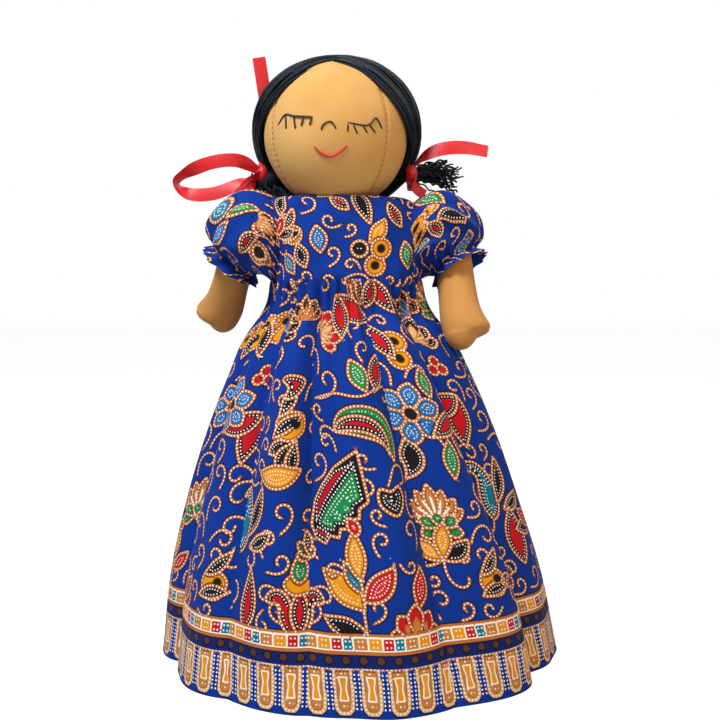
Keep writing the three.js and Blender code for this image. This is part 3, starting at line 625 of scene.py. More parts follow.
def sprout(drawing, x, y, size):
    drawing.line(spline([(x, y), (x - size, y + 24 * size), (x - 2 * size, y + 48 * size)]))
    for rise, heading, length, width, fill, bend in (
            (4, 162, 22, 9, BLACK, -30), (14, 136, 27, 12.5, GOLD, 20), (22, 116, 17, 6, TEAL, -10),
            (18, 44, 24, 11, RED, 24), (28, 92, 24, 9, GOLD, -16), (49, 108, 10, 6, RED, 60)):
        leaf(drawing, x, y + rise * size, heading, length * size, width * size, fill, bend, 0.47, (BLACK,))
    drawing.tendril((x - 6 * size, y + 32 * size), 140, 20 * size, 300)
    drawing.tendril((x + 3 * size, y + 8 * size), 20, 20 * size, 280)


def trefoil(drawing, x, y):
    for across, up in ((-2.4, -1.4), (2.4, -1.4), (0, 2.6)):
        drawing.spot((x + across, y + up), 2.6, RED, 0.7)


def moth(drawing, x, y, heading):
    """Two round wings with an eye on each."""
    for side in (-1, 1):
        place = np.array([x, y]) + side * 4.4 * way(heading)
        drawing.spot(place, 5, GOLD)
        drawing.disc(place, 1.1, BLACK, BLACK, 0.7)


def crest(drawing, x, y, heading, length):
    """Two broad leaves on one foot, with dark dotted edges."""
    drawing.blade((x, y), heading + 28, length, 0.46 * length, RED, 20, 0.45, band=True)
    drawing.blade((x, y), heading - 24, 0.9 * length, 0.4 * length, RED, -20, 0.45, band=True)


def branch(drawing, x, y, size, turn, fills=(BLACK, GOLD, RED, GREEN)):
    """A forked stem with pairs of leaves."""
    drawing.tendril((x, y), 250 + turn, 24 * size, 200)
    drawing.tendril((x, y), 40 + turn, 26 * size, -300)
    for number, (heading, length) in enumerate(((20, 19), (160, 19), (62, 20), (122, 16))):
        fill = fills[number % len(fills)]
        leaf(drawing, x, y, heading + turn, length * size, 8.5 * size, fill, 30 - 20 * number, 0.52, (BLACK,))


def mirrored(x, half):
    """An outline from the reach and height of points on its left side."""
    return [(x - reach, y) for reach, y in half] + [(x + reach, y) for reach, y in half[::-1]]


def draw_border(drawing):
    """Tongues above the hem, a band with rosettes and a chain of coloured squares."""
    wide = 0.31 * TILE / TONGUES
    tongue = [(wide, TONGUE_TOP), (wide, 8), (0.9 * wide, 3.8), (0.5 * wide, TONGUE_FOOT)]
    vase = [(1.8, 16.4), (1, 12), (1.7, 7)]
    for i in range(TONGUES):
        x = (i + 0.5) * TILE / TONGUES
        drawing.ink(mirrored(x, tongue), COPPER, PEACH, 0.8)
        drawing.ink(mirrored(x, vase), GOLD, WHITE, 0.32, False)
        for height in (4.9, 17.8):
            drawing.dots((x - 1.2, height), (x + 1.2, height))
        for side in (-1, 1):
            edge = x + side * (wide + 1.3)
            drawing.dots((edge, 3), (edge, TONGUE_TOP - 0.8))
    drawing.ink([(0, TONGUE_TOP), (TILE, TONGUE_TOP)], None, OCHRE, 0.7, True, False)
    drawing.box(-1, TONGUE_TOP + 0.6, TILE + 1, BAND_TOP, NAVY, NAVY, 0.3)
    rosettes = 3 * CHAINS
    middle = (TONGUE_TOP + BAND_TOP) / 2 + 0.2
    for i in range(rosettes):
        x = (i + 0.5) * TILE / rosettes
        drawing.disc((x, middle), 1.9, UMBER, BLACK, 0.35)
        between = x + TILE / (2 * rosettes)
        drawing.dots((between - 0.2, middle), (between + 0.2, middle))
    drawing.box(-1, BAND_TOP, TILE + 1, CHAIN_TOP, COPPER, OCHRE, 0.6)
    low, high = BAND_TOP + 0.9, CHAIN_TOP - 0.9
    for i in range(CHAINS):
        edges = (np.array([0, 0.29, 0.57, 0.8, 1]) + i) * TILE / CHAINS
        for left, right, fill in zip(edges, edges[1:], (COPPER, GOLD, RED, TEAL)):
            drawing.box(left, low, right, high, fill, WHITE, 0.42)
            middle = (left + right) / 2
            for height in ((low + high) / 2 - 1.1, (low + high) / 2 + 1.1):
                drawing.dots((middle - DOT_PITCH, height), (middle + DOT_PITCH, height))


def fill_gaps(drawing, curls, low, high):
    """Short curls in the empty places between low and high."""
    lines = [stroke["points"] for stroke in drawing.strokes]
    lines = [np.vstack([spline(line, 1.2), line]) if len(line) < 12 else line for line in lines]
    taken = np.vstack(lines + [stroke["points"] for stroke in curls.strokes])
    taken = np.vstack([taken + (shift, 0) for shift in (-TILE, 0, TILE)])
    tree = search_tree(taken)
    added = np.array([(0.0, -99.0)])
    chance = np.random.default_rng(4)
    for row in range(int((high - low) / GAP_ROW)):
        for column in range(TILE // GAP_COLUMN):
            place = np.array([-TILE / 2 + GAP_COLUMN * column + chance.uniform(0, 6),
                              low + GAP_ROW * row + chance.uniform(0, 5)])
            for number in range(12):
                length = 26 - 2 * (number // 2)
                trial = Drawing()
                trial.tendril(place, chance.uniform(0, 360), length, 330 * (-1) ** number)
                path = trial.strokes[0]["points"]
                free = min(tree.find((x, y, 0))[2] for x, y in path[::4])
                gap = np.linalg.norm(path[::4, None] - added, axis=2).min()
                if min(free, gap) > GAP_FREE and path[:, 1].min() > low - 2:
                    curls.strokes += trial.strokes
                    added = np.vstack([added, path[::2]])
                    break


# Stems with a curl: foot, heading, length and turn
TENDRILS = [
    (-12, 62, 150, 28, -320), (-6, 131, 10, 30, 330), (22, 134, 30, 22, -300), (34, 66, 60, 24, 320),
    (44, 96, 100, 24, -320), (70, 66, 60, 26, -320), (54, 134, 120, 22, 320), (66, 140, 60, 22, -310),
    (82, 96, 40, 24, 320), (104, 100, 60, 24, -320), (122, 84, 60, 24, 320), (128, 148, 100, 26, -320),
    (108, 136, 150, 20, 310), (138, 112, 80, 26, -320), (96, 60, 100, 26, 320), (-20, 72, 60, 20, 320),
    (-42, 62, 120, 24, -320), (-48, 92, 60, 22, 320), (-24, 126, 30, 20, -320), (-28, 150, 80, 24, 310),
    (-56, 150, 130, 22, -320), (-68, 92, 120, 26, 320), (-84, 64, 60, 24, -320), (-96, 84, 60, 24, 320),
    (-72, 148, 60, 22, -310), (-100, 112, 120, 24, 320), (-112, 60, 60, 26, -320), (-136, 100, 60, 26, 320),
    (-120, 140, 90, 24, -320), (4, 152, 60, 24, 320), (16, 160, 120, 20, -320), (56, 172, 60, 22, 320),
    (-8, 184, 60, 22, -320), (84, 172, 100, 24, 320), (-64, 180, 60, 24, 320), (100, 186, 60, 24, -320),
    (-100, 178, 100, 24, -310), (140, 180, 60, 24, 320), (2, 108, 100, 20, 320), (140, 60, 60, 24, -300),
]
STEMS = [
    [(-8, 131), (4, 134), (16, 133), (26, 137)],
    [(62, 124), (72, 112), (76, 100)],
    [(23, 94), (28, 102), (34, 100), (34, 95), (30, 94)],
]

# Motifs with their places across and up the cloth, and what else each needs
SKIRT_MOTIFS = [
    # Middle of the front
    (feather, 2, 117, 0.84, -22, -150, GREEN, RED), (saw_leaf, 0.5, 89, 1.05, -10), (heart, 24.7, 88),
    (sprout, 6.5, 31, 0.86), (shell, 27.7, 30, 1.0, 90, RED, COPPER),
    (leaf, 29.5, 43, 74, 17, 8, RED, 20, 0.5, ()), (leaf, 19, 135, 112, 16, 8, GREEN),
    (leaf, 24, 135, 76, 17, 9, RED), (shell, -3, 162, 1.0, 30, RED, PEACH), (crest, 8, 182, -60, 25),
    (tulip, 24, 178, 0.55),
    # To the right of it
    (flower, 63, 124, 0.86, 15), (leaf, 75, 131, 95, 14, 7, GREEN), (leaf, 76, 112, -100, 18, 7.5, GREEN),
    (leaf, 51, 95, 72, 20, 10, BLACK, 80, 0.6), (crest, 86, 124, 236, 22), (lotus, 59, 76, 0.8),
    (branch, 55.5, 60, 0.85, 10, (BLACK, BLACK, GOLD, GOLD)), (bee, 75, 49, 0.9, 0), (moth, 67.5, 154, 84),
    (leaf, 58, 168, -70, 20, 9, RED), (crest, 68, 190, 265, 18), (crest, 119, 130, 226, 26),
    (shell, 112, 157, 1.0, 70, BLACK, PEACH), (shell, 118, 172, 0.9, 110, BLACK, SKY), (trefoil, 116, 144),
    (paisley, 113, 86, 0.85), (leaf, 121, 48, 85, 27, 12, RED, -20, 0.45), (tulip, 97, 32, 0.8),
    (flower, 92, 150, 0.7, 0),
    # To the left of it, and the back
    (tulip, -25.4, 31, 0.86), (star_leaf, -20, 62, 0.5, 100, GREEN), (paisley, -60, 78, 0.9),
    (leaf, -53, 31, 82, 27, 8.5, RED, 24, 0.4), (leaf, -30, 113, 205, 15, 6, BLACK, 20, 0.6),
    (leaf, -30, 113, 235, 15, 6, BLACK, 20, 0.6), (leaf, -30, 113, 265, 15, 6, BLACK, 20, 0.6),
    (leaf, -26, 100, 186, 24, 10, GOLD, -40), (bee, -34, 119, 0.95, 30), (bell, -35, 137),
    (shell, -51, 163, 0.95, 60, BLACK, SKY), (shell, -37, 170, 0.8, 100, BLACK, COPPER),
    (feather, -48, 184, 0.6, 30, -120, COPPER, GOLD), (crest, -73, 123, 232, 24), (trefoil, -78, 140),
    (butterfly, -84, 157, 0.95, 100), (flower, -92, 126, 0.8, 20), (bee, -77, 47, 0.95, 0),
    (star_leaf, -104, 33, 0.8, 90, RED), (flower, -127, 123, 0.7, 0), (butterfly, -134, 153, 0.8, 80),
    (lotus, -127, 71, 0.8), (sprout, -136, 31, 0.6), (branch, 140, 64, 0.9, 20, (GREEN, BLACK, GOLD, RED)),
    (saw_leaf, -104, 96, 0.7, 10), (lotus, 140, 176, 0.8), (tulip, -112, 172, 0.7),
    (feather, 88, 176, 0.5, 20, -100, GREEN, RED), (star_leaf, 44, 158, 0.55, 80, BLACK),
    (branch, -64, 176, 0.6, 20), (flower, -18, 186, 0.5, 10),
    (branch, 40, 188, 0.55, 0, (GREEN, BLACK, GOLD)), (flower, 100, 198, 0.5, 0),
]
# The part that the bodice is cut from, its front at u = 0
BODICE_MOTIFS = [
    (leaf, -10, 284, 40, 12, 6, GREEN), (leaf, -4, 284, -50, 11, 7, RED),
    (leaf, 10, 291, -84, 23, 8, BLACK, 20), (leaf, 20, 271, 236, 15, 7, GOLD, -20), (eye, 6.8, 256),
    (moth, 16, 252, 70), (leaf, -12, 254, 98, 14, 8, SKY), (bee, -27, 263, 0.7, 20),
    (leaf, -24, 259, 290, 13, 7, BLACK), (leaf, -32, 254, 300, 12, 7, TEAL),
    (leaf, 24, 280, -70, 14, 7, RED, 20), (leaf, 30, 260, -80, 14, 7, GREEN),
    (leaf, -28, 286, 250, 14, 7, BLACK, 30), (flower, 56, 276, 0.6, 20), (branch, 78, 262, 0.6, 20),
    (flower, 104, 276, 0.6, -10), (branch, 126, 262, 0.6, -10), (flower, -104, 276, 0.6, 30),
    (branch, -82, 262, 0.6, 30), (flower, -58, 276, 0.6, 0), (branch, -36, 262, 0.6, 0),
]
# The parts that the sleeves are cut from, the right one left of u = 0
SLEEVE_MOTIFS = [
    (ringed_spot, -12.4, 384), (shell, -31, 388, 0.7, 70, BLACK, PEACH), (leaf, -54, 376, 8, 13, 9, TEAL),
    (leaf, -39, 378, 80, 11, 7, GREEN), (leaf, -36, 378, 260, 13, 8, SKY),
    (leaf, -54, 382, 110, 14, 7, BLACK, 30), (leaf, -20, 374, 100, 13, 7, RED, 20),
    (leaf, -60, 374, 120, 13, 7, GOLD, 20), (leaf, 45, 383, 60, 13, 7, GREEN),
    (leaf, 42, 385, 160, 12, 6.5, GOLD, 20),
    (leaf, 40, 370, 130, 16, 8, BLACK, 60), (leaf, 42, 366, 280, 14, 8, SKY), (leaf, 24, 372, 80, 15, 7, RED),
    (leaf, 18, 378, 120, 13, 7, GREEN, 20), (moth, 30, 392, 20), (branch, -112, 376, 0.6, 10),
    (branch, -86, 376, 0.6, 40), (branch, 78, 376, 0.6, 0), (branch, 108, 376, 0.6, 30),
]
# Heights on the cloth of the skirt above its border, the bodice and the sleeves
CUT_HEIGHTS = [(34, 214), (236, 300), (344, 402)]


def draw_tile():
    """One repeat: flowers, leaves, insects and tendrils above the border."""
    drawing = Drawing()
    for x, y, heading, length, curl in TENDRILS:
        drawing.tendril((x, y), heading, length, curl)
    for points in STEMS:
        drawing.line(spline(points))
    for motif, *values in SKIRT_MOTIFS + BODICE_MOTIFS + SLEEVE_MOTIFS:
        motif(drawing, *values)
    curls = Drawing()
    for low, high in CUT_HEIGHTS:
        fill_gaps(drawing, curls, low, high)
    draw_border(drawing)
    return curls.strokes + drawing.strokes


def inside(points, outline):
    """Which points lie in a closed outline."""
    found = np.zeros(len(points), bool)
    x, y = points.T
    for (ax, ay), (bx, by) in zip(outline, np.roll(outline, -1, 0)):
        crosses = (ay > y) != (by > y)
        if by != ay:
            found ^= crosses & (x < (bx - ax) * (y - ay) / (by - ay) + ax)
    return found


class Print:
    """The drawing made ready to be laid on cloth: fills in order, and a search tree of the visible lines."""

    SAMPLE = 0.5

    def __init__(self, strokes):
        self.strokes = []
        for stroke in strokes:
            points = stroke["points"]
            if stroke["closed"]:
                points = np.vstack([points, points[:1]])
            lengths = runs_along(points)
            places = np.linspace(0, lengths[-1], max(3, int(lengths[-1] / self.SAMPLE)) + 1)
            path = np.stack([np.interp(places, lengths, column) for column in points.T], 1)
            for shift in (-TILE, 0, TILE):
                self.strokes.append({**stroke, "path": path + (shift, 0), "runs": places})
        lows = np.array([stroke["path"].min(0) for stroke in self.strokes])
        highs = np.array([stroke["path"].max(0) for stroke in self.strokes])
        filled = np.array([stroke["fill"] is not None for stroke in self.strokes])
        reach = TILE / 2 + PRINT_MARGIN
        wanted = (highs[:, 0] > -reach) & (lows[:, 0] < reach)
        order = np.arange(len(self.strokes))
        owners, samples = [], []
        for number in np.flatnonzero(wanted):
            path = self.strokes[number]["path"]
            shown = np.abs(path[:, 0]) < reach
            later = filled & (order >= number + 3 - number % 3)
            meets = (lows <= highs[number]).all(1) & (highs >= lows[number]).all(1)
            for cover in np.flatnonzero(later & meets):
                shown &= ~inside(path, self.strokes[cover]["path"][:-1])
            kept = np.flatnonzero(shown)
            owners.append(np.stack([np.full(len(kept), number), kept], 1))
            samples.append(path[kept])
        self.fills = [self.strokes[number] for number in np.flatnonzero(wanted & filled)]
        self.owners = np.vstack(owners)
        self.tree = search_tree(np.vstack(samples))

    def lay(self, piece, corners):
        """Writes the print on a piece, from the flat place of each corner of its four-sided faces."""
        centres = corners.mean(1)
        shift = np.floor(centres[:, 0] / TILE + 0.5)[:, None] * TILE
        centres = centres - np.hstack([shift, np.zeros_like(shift)])
        corners = corners - np.stack([shift, np.zeros_like(shift)], -1)
        fill = np.tile(np.array(BLUE), (len(centres), 1))
        for stroke in self.fills:
            path = stroke["path"]
            close = np.flatnonzero(((centres >= path.min(0)) & (centres <= path.max(0))).all(1))
            held = close[inside(centres[close], path[:-1])]
            fill[held] = stroke["fill"]
        nearest = np.array([self.tree.find((x, y, 0))[1] for x, y in centres])
        owner = self.owners[nearest]
        line = np.ones((len(centres), 4))
        style = np.zeros((len(centres), 3))
        strokes = np.zeros((len(centres), 4, 3))
        for number in np.unique(owner[:, 0]):
            stroke = self.strokes[number]
            faces = np.flatnonzero(owner[:, 0] == number)
            line[faces, :3] = (stroke["line"] or WHITE)[:3]
            style[faces] = stroke["style"]
            offset, run = self.along(stroke, owner[faces, 1], corners[faces])
            strokes[faces] = np.stack([offset, run, np.full_like(run, stroke["half"])], -1)
        self.write(piece, "stroke", "FLOAT_VECTOR", "vector", strokes)
        self.write(piece, "style", "FLOAT_VECTOR", "vector", np.repeat(style, 4, 0))
        self.write(piece, "fill", "FLOAT_COLOR", "color", np.repeat(fill, 4, 0))
        self.write(piece, "line", "FLOAT_COLOR", "color", np.repeat(line, 4, 0))

    @staticmethod
    def along(stroke, place, corners):
        """Signed distance from a line, positive inside an outline, and the run along it, for the corners of
        faces near given samples."""
        path, runs = stroke["path"], stroke["runs"]
        segments = np.clip(place[:, None] + np.arange(-4, 4), 0, len(path) - 2)
        start, end = path[segments], path[segments + 1]
        way = (end - start)[:, None]
        span = (way**2).sum(-1)
        reach = corners[:, :, None] - start[:, None]
        share = np.clip((reach * way).sum(-1) / np.maximum(span, 1e-9), 0, 1)
        distance = np.linalg.norm(reach - share[..., None] * way, axis=-1)
        best = distance.argmin(-1)[..., None]
        cross = way[..., 0] * reach[..., 1] - way[..., 1] * reach[..., 0]
        signed = np.where(cross < 0, -distance, distance)
        steps = runs[segments][:, None] + share * np.sqrt(span)
        offset, run = (np.take_along_axis(values, best, -1)[..., 0] for values in (signed, steps))
        far = np.abs(offset).min(1) > 1.0
        main = np.sign(offset.sum(1))
        offset[far] = np.abs(offset[far]) * main[far, None]
        if not stroke["closed"]:
            past = (run < 0.01).any(1) | (run > runs[-1] - 0.01).any(1)
            offset[past] = np.abs(offset[past])
        return offset, run

    @staticmethod
    def write(piece, name, kind, field, values):
        layer = piece.data.attributes.new(name, kind, "CORNER")
        layer.data.foreach_set(field, np.ascontiguousarray(values, np.float32).ravel())


PRINT = Print(draw_tile())


def set_flat(piece, corners):
    """The flat place of each corner, in metres, for the weave."""
    layer = piece.data.uv_layers.new(name="flat")
    layer.data.foreach_set("uv", np.ascontiguousarray(corners * MM, np.float32).ravel())


# Skirt
FLARE = spline([(0, 0), (0.08, 0.07), (0.21, 0.35), (0.45, 0.63), (0.75, 0.88), (1, 1)], 0.01)
# Creases: degrees from the front at the hem and at the waist, depth at the waist, half way and at the hem
CREASES = [
    (-165, -160, 4, 9, 6), (-131, -133, 4, 9, 4), (-104, -110, 3, 7, 6), (-73, -72, 4, 8, 9),
    (-38, -48, 5, 9, 4), (-13, -22, 6, 13, 3), (26, 12, 5, 11, 4), (61, 40, 7, 14, 9), (102, 106, 3, 8, 4),
    (128, 126, 4, 9, 6), (160, 158, 4, 9, 4),
]
FOLD_LEAN = 0.28
# Corners of a face of a grid: rows below and columns ahead of its first point
CORNERS = [(0, 0), (1, 0), (1, 1), (0, 1)]


def skirt_radius(share):
    """Radius of the highest folds, from the waist (0) to the hem (1)."""
    return WAIST_RADIUS + (HEM_RADIUS - WAIST_RADIUS) * np.interp(share, FLARE[:, 0], FLARE[:, 1])


def crease_angles(share):
    hem, waist = np.array(CREASES)[:, 0], np.array(CREASES)[:, 1]
    return np.radians(hem + (waist - hem) * (1 - share) ** 1.5)


def crease_depths(share):
    top, middle, hem = np.array(CREASES)[:, 2:].T
    upper = top + (middle - top) * smooth_step(share, 0, 0.45)
    lower = middle + (hem - middle) * smooth_step(share, 0.45, 1)
    return smooth_step(share, 0, 0.12) * (upper if share < 0.45 else lower)


def skirt_panels(angles, share):
    """For each angle of a ring: its panel between two creases, and its place in it from -1 to 1."""
    edges = crease_angles(share)
    panel = np.searchsorted(edges, angles) % len(edges)
    left = np.where(panel == 0, edges[-1] - 2 * np.pi, edges[panel - 1])
    right = np.where(panel == 0, edges[0], edges[panel])
    wrapped = np.where((panel == 0) & (angles > edges[-1]), angles - 2 * np.pi, angles)
    return panel, 2 * (wrapped - left) / (right - left) - 1


def skirt_ring(share, columns, inset=0.0):
    """Points of the skirt at a share of its height, from the waist (0) to the hem (1)."""
    angles = ring_angles(columns)
    panel, place = skirt_panels(angles, share)
    depths = crease_depths(share)
    before, after = depths[panel - 1], depths[panel]
    depth = before + (after - before) * (place + 1) / 2
    leaned = place + FOLD_LEAN * (place**2 - 1)
    fold = depth * np.abs(leaned) ** 2.2
    gathers = np.sin(GATHER_COUNT * angles + 2.2 * np.sin(3 * angles + 1) + 1.5 * np.sin(7 * angles))
    ripple = 0.7 * np.sin(13 * angles + 5 * share + 1.3 * np.sin(5 * angles)) * smooth_step(share, 0.1, 0.5)
    fade = 1 - smooth_step(share, 0.02, 0.36)
    radius = skirt_radius(share) - fold + GATHER_DEPTH * gathers * fade + ripple - inset
    width = max(1, int(columns / 300))
    kernel = np.hanning(2 * width + 3)[1:-1]
    padded = np.concatenate([radius[-width:], radius, radius[:width]])
    radius = np.convolve(padded, kernel / kernel.sum(), "valid")
    widen = 1 + WAIST_WIDEN * (1 - smooth_step(share, 0, 0.25))
    x = radius * np.sin(angles) * widen + WAIST_SHIFT * (1 - share)
    return np.stack([x, -radius * np.cos(angles), np.full(columns, WAIST_HEIGHT * (1 - share))], 1)


hem_ring = skirt_ring(1.0, SKIRT_COLUMNS)
HEM_SHIFT = -(hem_ring.min(0) + hem_ring.max(0)) / 2


def panel_middles(share):
    """Degrees from the front to the middle of each panel between two creases."""
    edges = np.degrees(crease_angles(share))
    middles = (edges + np.roll(edges, 1)) / 2
    middles[0] = (edges[0] + edges[-1] - 360) / 2
    return middles


def skirt_flat(points, shares):
    """Flat places of the corners of the skirt's faces. Between creases the cloth lies true to size, and what
    the waist gathers up is hidden in the creases."""
    rows, columns = points.shape[:2]
    runs, down = ring_runs(points)
    heights = np.concatenate([np.cumsum(down[::-1])[::-1], [0]])
    face_angles = ring_angles(columns) + np.pi / columns
    full = np.linspace(-180, 180, columns + 1)
    scale = REPEATS * TILE / runs[-1, -1]
    home = np.interp(panel_middles(1.0), full, runs[-1]) * scale
    corners = np.zeros((rows - 1, columns, 4, 2))
    for row in range(rows - 1):
        share = (shares[row] + shares[row + 1]) / 2
        panel, _ = skirt_panels(face_angles, share)
        middles = panel_middles(share)
        wrapped = np.where(middles < -180, middles + 360, middles)
        for corner, (below, ahead) in enumerate(CORNERS):
            ring = runs[row + below]
            centre = np.interp(wrapped, full, ring)
            reach = ring[np.arange(columns) + ahead] - centre[panel]
            reach = (reach + ring[-1] / 2) % ring[-1] - ring[-1] / 2
            corners[row, :, corner, 0] = home[panel] + reach * scale
            corners[row, :, corner, 1] = heights[row + below] * scale
    return corners.reshape(-1, 4, 2)


def split_skirt(points, corners, name, material, split_row):
    """Two pieces that meet at one row, with the normals of the whole."""
    rows, columns = points.shape[:2]
    whole = add_piece(name, points.reshape(-1, 3), grid_faces(rows, columns), material)
    normals = np.zeros(rows * columns * 3, np.float32)
    whole.data.vertices.foreach_get("normal", normals)
    normals = normals.reshape(rows, columns, 3)
    bpy.data.objects.remove(whole)
    made = []
    for part, first, last in (("yoke", 0, split_row + 1), ("fall", split_row, rows)):
        strip = points[first:last]
        piece = add_piece(f"{name}_{part}", strip.reshape(-1, 3), grid_faces(len(strip), columns), material)
        piece.data.normals_split_custom_set_from_vertices(normals[first:last].reshape(-1, 3).tolist())
        flat = corners.reshape(rows - 1, columns, 4, 2)[first:last - 1].reshape(-1, 4, 2)
        set_flat(piece, flat)
        if material is BATIK:
            PRINT.lay(piece, flat)
        made.append(piece)
    return made


def skirt_grid(shares, columns, inset):
    return np.stack([skirt_ring(share, columns, inset) + HEM_SHIFT * share for share in shares])


def lift_row(shares):
    """The row of a skirt that is nearest to the height where its lifted part begins."""
    return int(np.argmin(np.abs(WAIST_HEIGHT * (1 - shares) - LIFT_HEIGHT)))


def gather_up(piece):
    """Gives the lower part of a skirt a mesh of its own."""
    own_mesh(piece)


def build_skirts():
    """The printed skirt and its lining, each as a yoke and the fall below it."""
    border = 1 - BORDER_HEIGHT / WAIST_HEIGHT
    shares = np.concatenate([np.linspace(0, border, UPPER_ROWS)[:-1], np.linspace(border, 1, BORDER_ROWS)])
    outer = skirt_grid(shares, SKIRT_COLUMNS, 0.0)
    skirt = split_skirt(outer, skirt_flat(outer, shares), "skirt", BATIK, lift_row(shares))
    shares = np.linspace(0, 1, LINING_ROWS)
    inner = skirt_grid(shares, LINING_COLUMNS, LINING_INSET)
    inner[-1, :, 2] += LINING_RISE
    lining = split_skirt(inner[:, ::-1], skirt_flat(inner, shares), "lining", DOTTED, lift_row(shares))
    return *skirt, *lining


def build_tape():
    """The strip that both skirts are sewn to, between them at the hem."""
    shares = 1 - np.linspace(TAPE_TOP, TAPE_FOOT, 6) / WAIST_HEIGHT
    points = skirt_grid(shares, LINING_COLUMNS, TAPE_INSET)
    piece = add_piece("hem_tape", points.reshape(-1, 3), grid_faces(*points.shape[:2]), TAPE)
    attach(piece, "hem")
    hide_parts("hem_strip")
    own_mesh(piece)


skirt_yoke, skirt_fall, lining_yoke, lining_fall = build_skirts()
for yoke, fall, node, slot, hem_run in (
        (skirt_yoke, skirt_fall, "outer_skirt", "batik_cotton", 0.62),
        (lining_yoke, lining_fall, "inner_skirt", "dotted_cotton", 0.60)):
    for piece in (yoke, fall):
        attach(piece, "torso")
    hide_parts(node)
    gather_up(fall)
build_tape()


# Cloth made of rings
def cloth_flat(points, front, u_start, v_start):
    """Flat places of the corners of a tube's faces: the run round each ring from a front column, and the
    mean run down from the first ring."""
    rows, columns = points.shape[:2]
    runs, down = ring_runs(points)
    runs += u_start - runs[:, front:front + 1]
    heights = v_start - np.concatenate([[0], np.cumsum(down)])
    corners = np.zeros((rows - 1, columns, 4, 2))
    for corner, (below, ahead) in enumerate(CORNERS):
        corners[:, :, corner, 0] = runs[below:rows - 1 + below, ahead:columns + ahead]
        corners[:, :, corner, 1] = heights[below:rows - 1 + below, None]
    return corners.reshape(-1, 4, 2)


def cloth_tube(name, points, material, front, place, body, node):
    """A piece of cloth from a grid of closed rings, with the weave and, on the printed cotton, the print."""
    middle = points.mean(1, keepdims=True)
    across = np.cross(points[1:, :-1] - points[:-1, :-1], points[:-1, 1:] - points[:-1, :-1])
    if (across * (points - middle)[:-1, :-1]).sum() < 0:
        points = points[:, ::-1]
        front = points.shape[1] - 1 - front
    piece = add_piece(name, points.reshape(-1, 3), grid_faces(*points.shape[:2]), material)
    flat = cloth_flat(points, front, *place)
    set_flat(piece, flat)
    if material is BATIK:
        PRINT.lay(piece, flat)
    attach(piece, body)
    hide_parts(node)
    return piece


def turned(points):
    """The same points half a turn about the waist, where the second doll begins."""
    return np.array([2 * WAIST_SHIFT, 0, 2 * WAIST_HEIGHT]) + np.asarray(points) * (-1, 1, -1)


def stay(points):
    return points


# Power of a bodice's rings: 1 is an ellipse, and less is nearer to a box
BODICE_SQUARE = 0.84


def bodice_grid(rings, rows, columns):
    """Rings of a bodice from its waist seam up, from a list of height, half width, half depth and middle."""
    height, wide, deep, middle = (column[:, None] for column in even_rows(rings, 0.25, rows).T)
    angles = ring_angles(columns)
    x, y = (np.sign(wave) * np.abs(wave) ** BODICE_SQUARE for wave in (np.sin(angles), np.cos(angles)))
    gathers = np.sin(29 * angles + 2 * np.sin(4 * angles)) * np.exp(-np.abs(height - height[0]) / 5)
    neck = np.sin(23 * angles + 2 * np.sin(3 * angles)) * np.exp(-np.abs(height - height[-1]) / 4)
    drape = 0.9 * np.sin(5 * angles + height / 9) + 0.6 * np.sin(9 * angles - height / 6 + 2)
    drape = drape + 1.2 * (0.5 - np.abs(np.sin(3 * angles + height / 14 + 0.6)))
    lift = 0.7 * gathers + 0.5 * neck + drape * (1 - np.exp(-np.abs(height - height[0]) / 6))
    return np.stack([middle + (wide + lift) * x, -(deep + lift) * y, height + 0 * x], -1)


SLEEVE_SAG = 6
SLEEVE_CROWN = 5
CUFF_SHARE = 0.86
# A sleeve's rings: share of its length, radius, and how deep its gathers are
SLEEVE = [(0, 0.66, 0.8), (0.08, 0.78, 0.9), (0.2, 0.92, 0.8), (0.36, 1, 0.5), (0.52, 0.99, 0.55),
          (0.66, 0.88, 0.9), (0.78, 0.67, 1.0), (CUFF_SHARE, 0.53, 0.8), (0.92, 0.58, 0.8), (1, 0.7, 0.9)]


